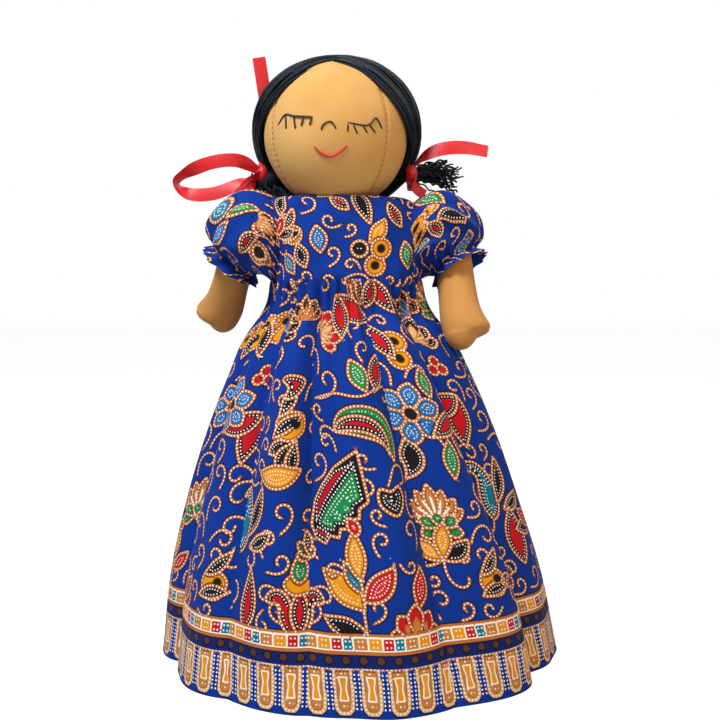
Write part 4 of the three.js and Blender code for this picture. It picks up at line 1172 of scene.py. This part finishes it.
def sleeve_grid(side, hinge, aim, puff, reach, cuff, ruffle, face, rows, columns):
    """A puff sleeve from its armhole to the ruffle past its cuff."""
    hinge, aim, face = np.asarray(hinge, float), np.asarray(aim, float), unit(np.asarray(face, float))
    outward = np.array([side, 0.0, 0.0])
    inward, end = -outward * reach, hinge + aim * cuff
    middles = even_rows([hinge + inward, hinge + inward * 0.62, hinge + inward * 0.3 + aim * cuff * 0.2,
                         hinge + aim * cuff * 0.66, end, end + face * ruffle], 0.1, rows)
    shares = np.linspace(0, 1, rows)
    table = np.array(SLEEVE)
    curve = spline(table, 0.01)
    radius = puff * np.interp(shares, curve[:, 0], curve[:, 1])
    depth = np.interp(shares, table[:, 0], table[:, 2])
    lean = smooth_step(shares, 0, 0.75)[:, None]
    normal = unit(outward * (1 - lean) + face * lean)
    front = unit(np.array([0, -1.0, 0]) + normal * normal[:, 1:2])
    up = np.cross(normal, front) * -side
    angles = ring_angles(columns)
    waves = np.sin(13 * angles + 2 * np.sin(3 * angles + side) + 0.7 * np.sin(5 * angles))
    broad = np.sin(6 * angles + 3 * shares[:, None] + side) + 0.6 * np.sin(11 * angles - 4 * shares[:, None])
    ridges = 0.6 - np.abs(np.sin(3 * angles + 5 * shares[:, None] + side))
    ends = (1 - smooth_step(shares, 0.05, 0.3) + smooth_step(shares, 0.55, 0.8))[:, None]
    size = puff / 25
    folds = depth[:, None] * waves * ends + (1.2 * broad + 2 * ridges) * (1 - 0.7 * ends)
    sag = SLEEVE_SAG * np.exp(-((shares - 0.45) / 0.2) ** 2)[:, None] * np.maximum(0, -np.cos(angles))
    crown = SLEEVE_CROWN * np.exp(-((shares - 0.3) / 0.2) ** 2)[:, None] * np.maximum(0, np.cos(angles))
    girth = radius[:, None] + size * (folds + sag + crown)
    frill = 0.3 * size * np.sin(9 * angles + side) * smooth_step(shares, CUFF_SHARE, 1)[:, None]
    sway = np.cos(angles)[:, None] * up[:, None] + np.sin(angles)[:, None] * front[:, None]
    return middles[:, None] + girth[..., None] * sway + frill[..., None] * face


def cuff_elastic(grid):
    """The elastic inside the narrowest ring of a sleeve's cuff."""
    ring = grid[int(CUFF_SHARE * (len(grid) - 1))]
    middle = ring.mean(0)
    spokes = ring - middle
    path = middle + unit(spokes) * (np.linalg.norm(spokes, axis=1).min() - 1.1)
    return tubes([np.vstack([path, path[:2]])], [0.7], 8)


# A stuffed arm: run from the shoulder, inner edge, outer edge with the thumb, half thickness
ARM = [(-9, -4, 4, 4), (-7, -7, 7, 6.6), (-3, -8.8, 8.8, 8.4), (6, -9.4, 9.4, 9.4), (18, -9.6, 9.6, 9.4),
       (28, -9.8, 9.8, 9.4), (36, -10.2, 10.4, 9.6), (41, -10.4, 11.6, 9.8), (45, -10.2, 13.2, 9.8),
       (48, -9.8, 14.4, 9.6), (50.2, -9.4, 13.8, 9), (51.6, -9, 10.8, 8.4), (52.8, -8.6, 7.8, 8),
       (55.4, -7.2, 5.6, 6.4), (57.8, -5, 3, 4.2), (58.8, -2.8, 0.8, 2), (59.2, -1.05, -0.95, 0.05)]


def arm_grid(side, hinge, aim, size, rows, columns):
    """Two flat pieces sewn round the edge and stuffed, with a thumb on the outer side."""
    along = unit(np.asarray(aim, float))
    outward = np.array([side, 0.0, 0.0])
    outward = unit(outward - along * (outward @ along))
    through = np.cross(along, outward)
    run, inner, outer, thick = (column[:, None, None] for column in even_rows(ARM, 0.1, rows).T * size)
    angles = ring_angles(columns)[:, None]
    seam = np.minimum(0.5 * size, (outer - inner) / 20) * np.exp(-((np.sin(angles) / 0.1) ** 2))
    across = (inner + outer) / 2 + ((outer - inner) / 2 - seam) * np.cos(angles)
    depth = thick * np.sign(np.sin(angles)) * np.abs(np.sin(angles)) ** 0.9
    return np.asarray(hinge) + run * along + across * outward + depth * through


def soften(node, name, material, grow, voxel, rounds):
    """A smooth cloth skin round a plain stuffed solid."""
    piece = bpy.data.objects.new(name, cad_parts[node].data.copy())
    bpy.context.scene.collection.objects.link(piece)
    remesh = piece.modifiers.new("remesh", "REMESH")
    remesh.mode = "VOXEL"
    remesh.voxel_size = voxel * MM
    smooth = piece.modifiers.new("smooth", "SMOOTH")
    smooth.iterations = rounds
    swell = piece.modifiers.new("swell", "DISPLACE")
    swell.mid_level = 0
    swell.strength = grow * MM
    mesh = bpy.data.meshes.new_from_object(piece.evaluated_get(bpy.context.evaluated_depsgraph_get()))
    piece.modifiers.clear()
    piece.data = mesh
    mesh.polygons.foreach_set("use_smooth", np.ones(len(mesh.polygons), bool))
    mesh.materials.clear()
    mesh.materials.append(material)
    return piece


# Heads, faces and hair
HEAD_AXES = np.array([36, 33, 37])
SEAMS = (-31, 25.5)
SEAM_HEIGHT = 40
FACE_DROP = 1.6
SEAM_RADIUS = 0.14
STITCH_RADIUS = {"black": 0.44, "red": 0.52}
HAIR_STRANDS = 330
NAPE_STRANDS = 90
CAP_SHARE = 0.955


def face_point(x, z, lift=0.0):
    """A point of the face from its place across and up, measured from the head's middle."""
    depth = 1 - (x / HEAD_AXES[0]) ** 2 - (z / HEAD_AXES[2]) ** 2
    return np.stack([x, -(HEAD_AXES[1] * np.sqrt(np.maximum(depth, 0)) + lift), z], -1)


def head_mesh(rows, columns):
    polar = np.linspace(0.03, np.pi - 0.03, rows)[:, None]
    angles = ring_angles(columns)
    ways = np.stack([np.sin(polar) * np.sin(angles), -np.sin(polar) * np.cos(angles),
                     np.cos(polar) + 0 * angles], -1)
    points = ways * HEAD_AXES
    x, y, z = np.moveaxis(points, -1, 0)
    groove = np.zeros_like(x)
    for seam in SEAMS:
        curve = seam * np.sqrt(np.maximum(0, 1 - (z / SEAM_HEIGHT) ** 2))
        groove += 0.6 * np.exp(-((x - curve) / 0.8) ** 2)
        groove += 0.12 * np.sin(2.4 * z) * np.exp(-((x - curve) / 2.5) ** 2)
    lumps = 0.25 * np.sin(x / 6 + z / 9) + 0.2 * np.sin(z / 5 - x / 11 + y / 7)
    points = points + ways * (lumps - groove)[..., None]
    faces = grid_faces(rows, columns).tolist()
    faces.append(list(range(columns)))
    faces.append(list(range(rows * columns - 1, (rows - 1) * columns - 1, -1)))
    return points.reshape(-1, 3), faces


# Stitches of the face, across and up from its middle. The doll's own right is at the viewer's left.
RIGHT_EYE = [[(-27.6, 0.2), (-24, 4.9), (-19.1, 3.9), (-10.7, 3)],
             [(-23.7, 4.1), (-23.5, -1.6)], [(-19.6, 3.4), (-18.9, -1.9)],
             [(-15, 3), (-15.9, -0.7)], [(-10.9, 2.7), (-11.8, -0.5)]]
LEFT_EYE = [[(5.2, 0.3), (13.8, -0.9), (17, 0), (19.8, 2.9), (22.6, -1.9)],
            [(6.4, -0.4), (6.1, -4)], [(8.9, -0.7), (10.7, -4.9)],
            [(13.3, -0.9), (15.4, -4.2)], [(16.4, -0.4), (19.2, -3.8)]]
NOSE = [[(-6.3, -3.2), (-5.5, -1), (-2.9, 0.5), (-1.1, 0), (0.8, -2.9)]]
MOUTH = [[(-9.7, -10.9), (-6.6, -13.9), (-1.6, -15.5), (2.7, -13.4), (5.7, -10.6)]]


def stitches(lines, centre, move):
    """Paths of stitches that lie on the face: each stitch dips into the cloth at its ends."""
    paths = []
    for line in lines:
        flat = spline(line, 0.4)
        shares = np.linspace(0, 1, len(flat))
        lift = 0.35 - 0.6 * (2 * shares - 1) ** 8
        paths.append(move(face_point(flat[:, 0], flat[:, 1] + FACE_DROP, lift) + centre))
    return paths


def seam_stitches(centre, move):
    """Short running stitches beside the seams of the face."""
    paths = []
    for seam in SEAMS:
        for z in np.arange(-31, 32, 2.7):
            heights = z + np.linspace(-0.7, 0.7, 5)
            across = (seam - np.sign(seam) * 0.4) * np.sqrt(1 - (heights / SEAM_HEIGHT) ** 2)
            inside_face = (across / HEAD_AXES[0]) ** 2 + (heights / HEAD_AXES[2]) ** 2
            if inside_face.max() < 0.97:
                paths.append(move(face_point(across, heights, 0.1) + centre))
    return paths


def hair_way(share, run, side, forward, tie, short):
    """Direction on the head of a place in the hair: share from the front hairline to the nape, and run from
    the parting to the tie, or to the cut ends of short hair."""
    crown = np.radians(68 + 146 * share)
    bend = np.radians(forward + (206 - forward) * share)
    start = np.stack([-0.02 * side + 0 * crown, -np.cos(crown), np.sin(crown)], -1)
    middle = unit(np.stack([0.9 * side + 0 * bend, -0.8 * np.cos(bend), 0.8 * np.sin(bend)], -1))
    end = np.broadcast_to(tie, start.shape)
    if short:
        sweep = np.radians(10 + 165 * share)
        back = -0.3 * np.cos(sweep) + 0.7 * share
        end = unit(np.stack([side * np.sin(sweep), back, -0.42 + 0 * sweep], -1))
    run = run[..., None]
    return unit((1 - run) ** 2 * start + 2.4 * run * (1 - run) * middle + run**2 * end)


def hair_swell(share, short):
    """The hair lies close to the head at its front edge and is thickest behind it."""
    dip = 0.03 if short else 0.08
    return 1 - dip + dip * smooth_step(share, 0, 0.3)


def hair_strands(centre, axes, side, forward, tie, short, count):
    """Loose strands of yarn laid over the cap on one side of the head."""
    target = unit((np.asarray(tie) - centre) / axes)
    runs = np.linspace(0, 1, 26)
    paths, radii = [], []
    for number in range(count):
        share = (number + 0.5) / count if number % 2 else rng.random()
        wander = share + 0.012 * np.sin(runs * rng.uniform(3, 9) + rng.uniform(0, 6))
        aim = unit(target + rng.normal(0, 0.055, 3))
        lift = rng.uniform(CAP_SHARE, 1.0) + 0.012 * np.sin(runs * 5 + rng.uniform(0, 6))
        lift *= hair_swell(share, short)
        ways = hair_way(np.clip(wander, 0, 1), runs, side, forward, aim, short)
        paths.append(centre + axes * ways * lift[:, None])
        radii.append(rng.uniform(0.38, 0.55))
    return paths, radii


def nape_strands(centre, side, tie, count):
    """Slack strands that hang between the nape and a tie, below the close hair."""
    paths, radii = [], []
    for _ in range(count):
        start = centre + (3 * side, 27, -22) + rng.normal(0, 1, 3)
        middle = (start + tie) / 2 + (0, 2, -rng.uniform(-1, 11)) + rng.normal(0, 1, 3)
        paths.append(spline([start, middle, tie + rng.normal(0, 1, 3)], 2))
        radii.append(rng.uniform(0.38, 0.55))
    return paths, radii


def hair_cap(centre, axes, side, forward, tie, short):
    target = unit((np.asarray(tie) - centre) / axes)
    share, run = np.meshgrid(np.linspace(0, 1, 40), np.linspace(0, 1, 30), indexing="ij")
    ways = hair_way(share, run, side, forward, target, short)
    points = centre + axes * ways * (CAP_SHARE * hair_swell(share, short))[..., None]
    faces = grid_faces(40, 30, False)
    return points.reshape(-1, 3), faces if side > 0 else faces[:, ::-1]


def join_meshes(*meshes):
    """One list of points and faces from several."""
    points, faces, first = [], [], 0
    for some_points, some_faces in meshes:
        points.append(some_points)
        faces += [[corner + first for corner in face] for face in some_faces]
        first += len(some_points)
    return np.vstack(points), faces


def hair(name, centre, axes, side, forward, tie, short, material, move, body, node):
    """One side of the hair: a closed cap, strands over it, and slack ones at the nape of long hair."""
    meshes = [hair_cap(centre, axes, side, forward, tie, short),
              tubes(*hair_strands(centre, axes, side, forward, tie, short, HAIR_STRANDS), 5)]
    if not short:
        meshes.append(tubes(*nape_strands(centre, side, tie, NAPE_STRANDS), 5))
    points, faces = join_meshes(*meshes)
    piece = add_piece(name, move(points), faces, material)
    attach(piece, body)
    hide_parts(node)


def pigtail(name, tie, aim, length, count, spread, core_radius, node):
    """Kinky loose ends of yarn past a tie."""
    aim = unit(np.asarray(aim, float))
    paths, radii = [], []
    for _ in range(count):
        way = unit(aim + rng.normal(0, spread, 3))
        reach = length * rng.uniform(0.6, 1.15)
        steps = np.arange(0, reach, 0.8)
        kink = rng.uniform(0.3, 0.9) * np.minimum(steps / 4, 1)
        beat = rng.uniform(4, 7)
        across = unit(np.cross(way, rng.normal(0, 1, 3)))
        also = np.cross(way, across)
        path = np.asarray(tie) + rng.normal(0, 1.5, 3) + np.outer(steps, way)
        path += (kink * np.sin(steps / beat * 6.3 + rng.uniform(0, 6)))[:, None] * across
        path += (kink * np.sin(steps / beat * 5.1 + rng.uniform(0, 6)))[:, None] * also
        path[:, 2] -= 0.006 * steps**2
        paths.append(path)
        radii.append(rng.uniform(0.36, 0.55))
    run = np.linspace(0, 0.75 * length, 16)
    core = np.asarray(tie) + np.outer(run, aim)
    paths.append(core)
    radii.append(core_radius * np.sin(np.pi * (0.25 + 0.72 * run / run[-1])))
    points, faces = tubes(paths, radii, 7)
    piece = add_piece(name, points, faces, BLACK_YARN)
    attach(piece, node)
    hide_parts(node)


# Ribbons
RIBBON_WIDTH = 6.8
RIBBON_THICK = 0.3
WRAP_RADIUS = 7.2
WRAP_GIRTH = 1.5
KNOT_GIRTH = 2.7
KNOT_OUT = 7.4
KNOT = [(0, -4.6, 3), (0, -7.6, 1.6), (0.6, -8.6, -0.4), (0, -7, -2.8), (0, -4, -3.4)]


def ribbon_strip(points, start, folds=(0,), step=0.7):
    """A flat strip along a path from a knot, turned edge on where it folds: its front and its back."""
    path = spline(np.asarray(points, float) + start, step)
    tangent = unit(np.gradient(path, axis=0))
    runs = np.linspace(0, 1, len(path))
    across = unit(np.cross(tangent, [0.1, -1, 0.3]))
    facing = np.cross(across, tangent)
    length = step * len(path)
    edge_on = sum(np.exp(-(((runs - fold) * length / 10) ** 2)) for fold in folds)
    roll = np.radians(78 * np.minimum(edge_on, 1) + 9 * np.sin(runs * 8))[:, None]
    across, facing = (across * np.cos(roll) + facing * np.sin(roll),
                      facing * np.cos(roll) - across * np.sin(roll))
    lanes = np.linspace(-1, 1, 7)
    sheets = []
    for side in (0.5, -0.5):
        rows = [path + across * (lane * 0.5 * RIBBON_WIDTH)
                + facing * (0.15 * (1 - lane**2) + side * RIBBON_THICK) for lane in lanes]
        faces = grid_faces(len(path), 7, False)
        sheets.append((np.stack(rows, 1).reshape(-1, 3), (faces if side < 0 else faces[:, ::-1]).tolist()))
    return join_meshes(*sheets)


def ribbon(name, tie, strips, body, node):
    """A ribbon wound round a tie and knotted in front, with loops and tails from the knot."""
    knot_place = np.asarray(tie) + (0, -KNOT_OUT, 0)
    parts = [ribbon_strip(strip, knot_place, folds) for strip, folds in strips]
    wraps = []
    for tilt in (-18, 12):
        angles = np.linspace(0, 2 * np.pi, 40)
        girdle = np.stack([1.6 * np.sin(angles) * math.sin(math.radians(tilt)), WRAP_RADIUS * np.cos(angles),
                           WRAP_RADIUS * np.sin(angles)], 1)
        wraps.append(np.asarray(tie) + girdle)
    parts.append(tubes(wraps, [WRAP_GIRTH, WRAP_GIRTH], 8))
    parts.append(tubes([spline(np.asarray(tie) + np.array(KNOT), 0.5)], [KNOT_GIRTH], 10))
    piece = add_piece(name, *join_meshes(*parts), SATIN)
    layer = piece.data.uv_layers.new(name="flat")
    places = np.zeros(len(piece.data.vertices) * 3)
    piece.data.vertices.foreach_get("co", places)
    corners = np.zeros(len(piece.data.loops), int)
    piece.data.loops.foreach_get("vertex_index", corners)
    layer.data.foreach_set("uv", places.reshape(-1, 3)[corners][:, [0, 2]].astype(np.float32).ravel())
    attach(piece, body)
    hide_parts(node)


def build_head(doll, centre, hair_axes, forwards, ties, short, skin, yarn_look, move):
    centre = np.asarray(centre, float)
    points, faces = head_mesh(130, 240)
    piece = add_piece(f"{doll}_face", move(points + centre), faces, skin)
    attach(piece, f"{doll}_head")
    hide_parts(f"{doll}_head_skin")
    paths = seam_stitches(centre, move)
    seams = add_piece(f"{doll}_seam_stitches", *tubes(paths, [SEAM_RADIUS] * len(paths)), SEAM_THREAD)
    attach(seams, f"{doll}_head")
    for part, lines, hue in (("eye_left", LEFT_EYE, "black"), ("eye_right", RIGHT_EYE, "black"),
                             ("nose", NOSE, "black"), ("mouth", MOUTH, "red")):
        name = f"{doll}_{part}"
        paths = stitches(lines, centre, move)
        stitch = add_piece(f"{name}_stitches", *tubes(paths, [STITCH_RADIUS[hue]] * len(paths), 8),
                           RED_THREAD if hue == "red" else BLACK_THREAD)
        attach(stitch, f"{doll}_head")
        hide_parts(name)
    for side, word in ((1, "left"), (-1, "right")):
        hair(f"{doll}_hair_{word}_yarn", centre, hair_axes, side, forwards[word], ties[word], short,
             yarn_look, move, f"{doll}_head", f"{doll}_hair_{word}")


LEFT_TIE = np.array([25.9, 12.5, 242.4])
RIGHT_TIE = np.array([-49.9, 12.5, 242.4])
UPPER_HEAD = np.array([-12, 0, 261])
LOWER_HEAD = np.array([-8.5, 0, 273])
build_head("upper", UPPER_HEAD, np.array([43, 38, 40.3]), {"left": 14, "right": 32},
           {"left": LEFT_TIE, "right": RIGHT_TIE}, False, TAN, BLACK_YARN, stay)
build_head("lower", LOWER_HEAD, np.array([39.6, 37, 39.4]), {"left": 60, "right": 60},
           {"left": LOWER_HEAD + (30, 8, -14), "right": LOWER_HEAD + (-30, 8, -14)}, True, BROWN, BROWN_YARN,
           turned)
pigtail("upper_pigtail_left_yarn", LEFT_TIE, (0.96, 0.2, 0.12), 23, 75, 0.17, 3.4, "upper_pigtail_left")
pigtail("upper_pigtail_right_yarn", RIGHT_TIE, (0.46, -0.2, -0.8), 21, 260, 0.28, 9.5,
        "upper_pigtail_right")
ribbon("upper_ribbon_left_satin", LEFT_TIE,
       [([(0, 1, 1), (5, 0, 7), (14, -2, 11.5), (26, -3, 12.5), (38.5, -3, 10.5)], (0,)),
        ([(0, 0, 0), (2, 0, -5), (3, 0, -8), (7, 1, -11)], (0,))],
       "upper_head", "upper_ribbon_left")
ribbon("upper_ribbon_right_satin", RIGHT_TIE,
       [([(0, 0, 0), (-12, -3, 6), (-28, -4, 4), (-42.5, -4, -4), (-37, -4, -10.5), (-24, -3, -10.5),
          (-10, -2, -5), (0, 0, 0)], (0, 0.47, 1)),
        ([(0, 2, 0), (1, 8, 8), (2, 14, 20), (1, 17, 36), (-2.6, 18, 61)], (0,)),
        ([(0, 0, 0), (-5, -3, -5), (-11, -4, -12)], (0,))],
       "upper_head", "upper_ribbon_right")


# Bodices, sleeves and arms: height, half width, half depth and middle of the rings
UPPER_BODICE = [(186.4, 36.5, 30.8, -7), (189, 37.6, 31.4, -7), (196, 38.2, 30, -7), (206, 38.4, 28, -7),
                (215, 38.4, 25.4, -7.5), (222, 38, 23, -8.5), (227, 35.8, 21, -10), (229.4, 31, 19, -11),
                (229.6, 25, 17.8, -11.5), (228.6, 20, 16.6, -12), (223, 16, 15, -12)]
LOWER_BODICE = [(192, 26.5, 27.6, -7), (195, 27.3, 27.8, -7), (203, 27.6, 26.5, -7), (213, 27.4, 24, -7.5),
                (222, 26.5, 21, -8), (229, 23, 18.5, -8.2), (233, 18, 16.5, -8.5), (234.6, 15.8, 15.2, -8.5),
                (231, 14.8, 14.4, -8.5)]
upper_dress = cloth_tube("upper_bodice_cloth", bodice_grid(UPPER_BODICE, 80, 220)[::-1], BATIK, 110,
                         (0, 300), "torso", "upper_bodice")
lower_dress = cloth_tube("lower_bodice_cloth", turned(bodice_grid(LOWER_BODICE, 50, 140))[::-1], DOTTED, 70,
                         (0, 150), "torso", "lower_bodice")
# Sleeves: the side they are on, the shoulder, the arm's direction, the puff's radius, its reach inwards,
# the way to the cuff, the ruffle past it and its direction, and the place on the cloth
SLEEVES = [
    ("upper", "left", 1, (46, 0, 207), (0.087, -0.405, -0.91), 22.5, 23, 9, 6.5, (0.5, -0.3, -0.8),
     (60, 400)),
    ("upper", "right", -1, (-60, 0, 207), (-0.276, 0.551, -0.787), 23.5, 22, 9, 6.5, (-0.55, 0.2, -0.8),
     (-60, 400)),
    ("lower", "left", -1, (-38.5, 0, 159), (-0.216, 0, -0.976), 13, 11, 15, 4, (-0.216, 0, -0.976), (0, 100)),
    ("lower", "right", 1, (24.5, 0, 159), (0.216, 0, -0.976), 13, 11, 15, 4, (0.216, 0, -0.976), (0, 100)),
]
for doll, word, side, hinge, aim, puff, reach, cuff, ruffle, face, place in SLEEVES:
    fine = (76, 150) if doll == "upper" else (40, 80)
    grid = sleeve_grid(side, hinge, aim, puff, reach, cuff, ruffle, face, *fine)
    body = f"{doll}_arm_{word}"
    sleeve = cloth_tube(f"{doll}_sleeve_{word}_cloth", grid, BATIK if doll == "upper" else DOTTED,
                        fine[1] // 2, place, body, f"{doll}_sleeve_{word}")
    elastic = add_piece(f"{doll}_elastic_{word}_band", *cuff_elastic(grid), TAPE)
    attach(elastic, body)
    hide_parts(f"{doll}_sleeve_elastic_{word}")
    # The upper doll's arms take the darker copy of the tan: painted shade
    skin = SHADED_ARM_TAN if doll == "upper" else BROWN
    grid = arm_grid(side, hinge, aim, 0.97 if doll == "upper" else 0.72, 110, 72)
    arm = cloth_tube(f"{doll}_arm_{word}_cloth", grid, skin, 36, (0, 0), body, f"{doll}_arm_skin_{word}")
torso = soften("torso_stuffing", "torso_cloth", TAN, grow=1.4, voxel=1.6, rounds=10)
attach(torso, "torso")
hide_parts("torso_skin")
for node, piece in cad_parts.items():
    look = WADDING if "stuffing" in node else TAPE
    piece.data.materials.clear()
    piece.data.materials.append(look)


# Stage, light and camera
def build_stage():
    nodes = Nodes("floor_white")
    ray = nodes.add("ShaderNodeLightPath")
    glow = nodes.math("MULTIPLY", ray.outputs["Is Camera Ray"], FLOOR_GLOW)
    material = nodes.surface(Base_Color=(0.5, 0.5, 0.5, 1), Roughness=0.9, Emission_Color=(1, 1, 1, 1),
                             Emission_Strength=glow)
    corners = np.array([(-1, -1, 0), (1, -1, 0), (1, 1, 0), (-1, 1, 0)]) * FLOOR_REACH
    floor = add_piece("floor", corners, [(0, 1, 2, 3)], material)
    floor.location.z = -FLOOR_GAP * MM
    world = bpy.data.worlds.new("studio")
    bpy.context.scene.world = world
    world.use_nodes = True
    tree = world.node_tree
    background = tree.nodes["Background"]
    path = tree.nodes.new("ShaderNodeLightPath")
    seen = tree.nodes.new("ShaderNodeMath")
    seen.operation = "MAXIMUM"
    tree.links.new(path.outputs["Is Camera Ray"], seen.inputs[0])
    tree.links.new(path.outputs["Is Glossy Ray"], seen.inputs[1])
    strength = tree.nodes.new("ShaderNodeMapRange")
    strength.inputs["To Min"].default_value = ROOM_LIGHT
    strength.inputs["To Max"].default_value = 1.0
    tree.links.new(seen.outputs[0], strength.inputs["Value"])
    tree.links.new(strength.outputs["Result"], background.inputs["Strength"])
    background.inputs["Color"].default_value = (1, 1, 1, 1)


def add_lamp(name, place, aim, size, power, tint):
    light = bpy.data.lights.new(name, "AREA")
    light.energy = power
    light.color = tint
    light.size = size * MM
    lamp = bpy.data.objects.new(name, light)
    lamp.location = Vector(place) * MM
    lamp.rotation_euler = (Vector(aim) - Vector(place)).to_track_quat("-Z", "Y").to_euler()
    bpy.context.scene.collection.objects.link(lamp)


def build_camera():
    data = bpy.data.cameras.new("camera")
    data.sensor_width = 36
    data.lens = FOCAL_PIXELS / IMAGE_PIXELS * data.sensor_width
    camera = bpy.data.objects.new("camera", data)
    camera.location = Vector((0, -CAMERA_DISTANCE, CAMERA_HEIGHT)) * MM
    camera.rotation_euler = (math.radians(90 - CAMERA_PITCH), 0, 0)
    bpy.context.scene.collection.objects.link(camera)
    bpy.context.scene.camera = camera


build_stage()
add_lamp("key", (-400, -470, 1000), (0, 0, 170), 320, 11.4, (0.95, 1, 1.04))
add_lamp("fill", (520, -620, 520), (0, 0, 150), 600, 3, (1, 0.74, 0.46))
add_lamp("back", (0, 600, 700), (0, 0, 200), 600, 2, (1, 1, 1))
build_camera()
bpy.context.scene.view_settings.view_transform = "Standard"
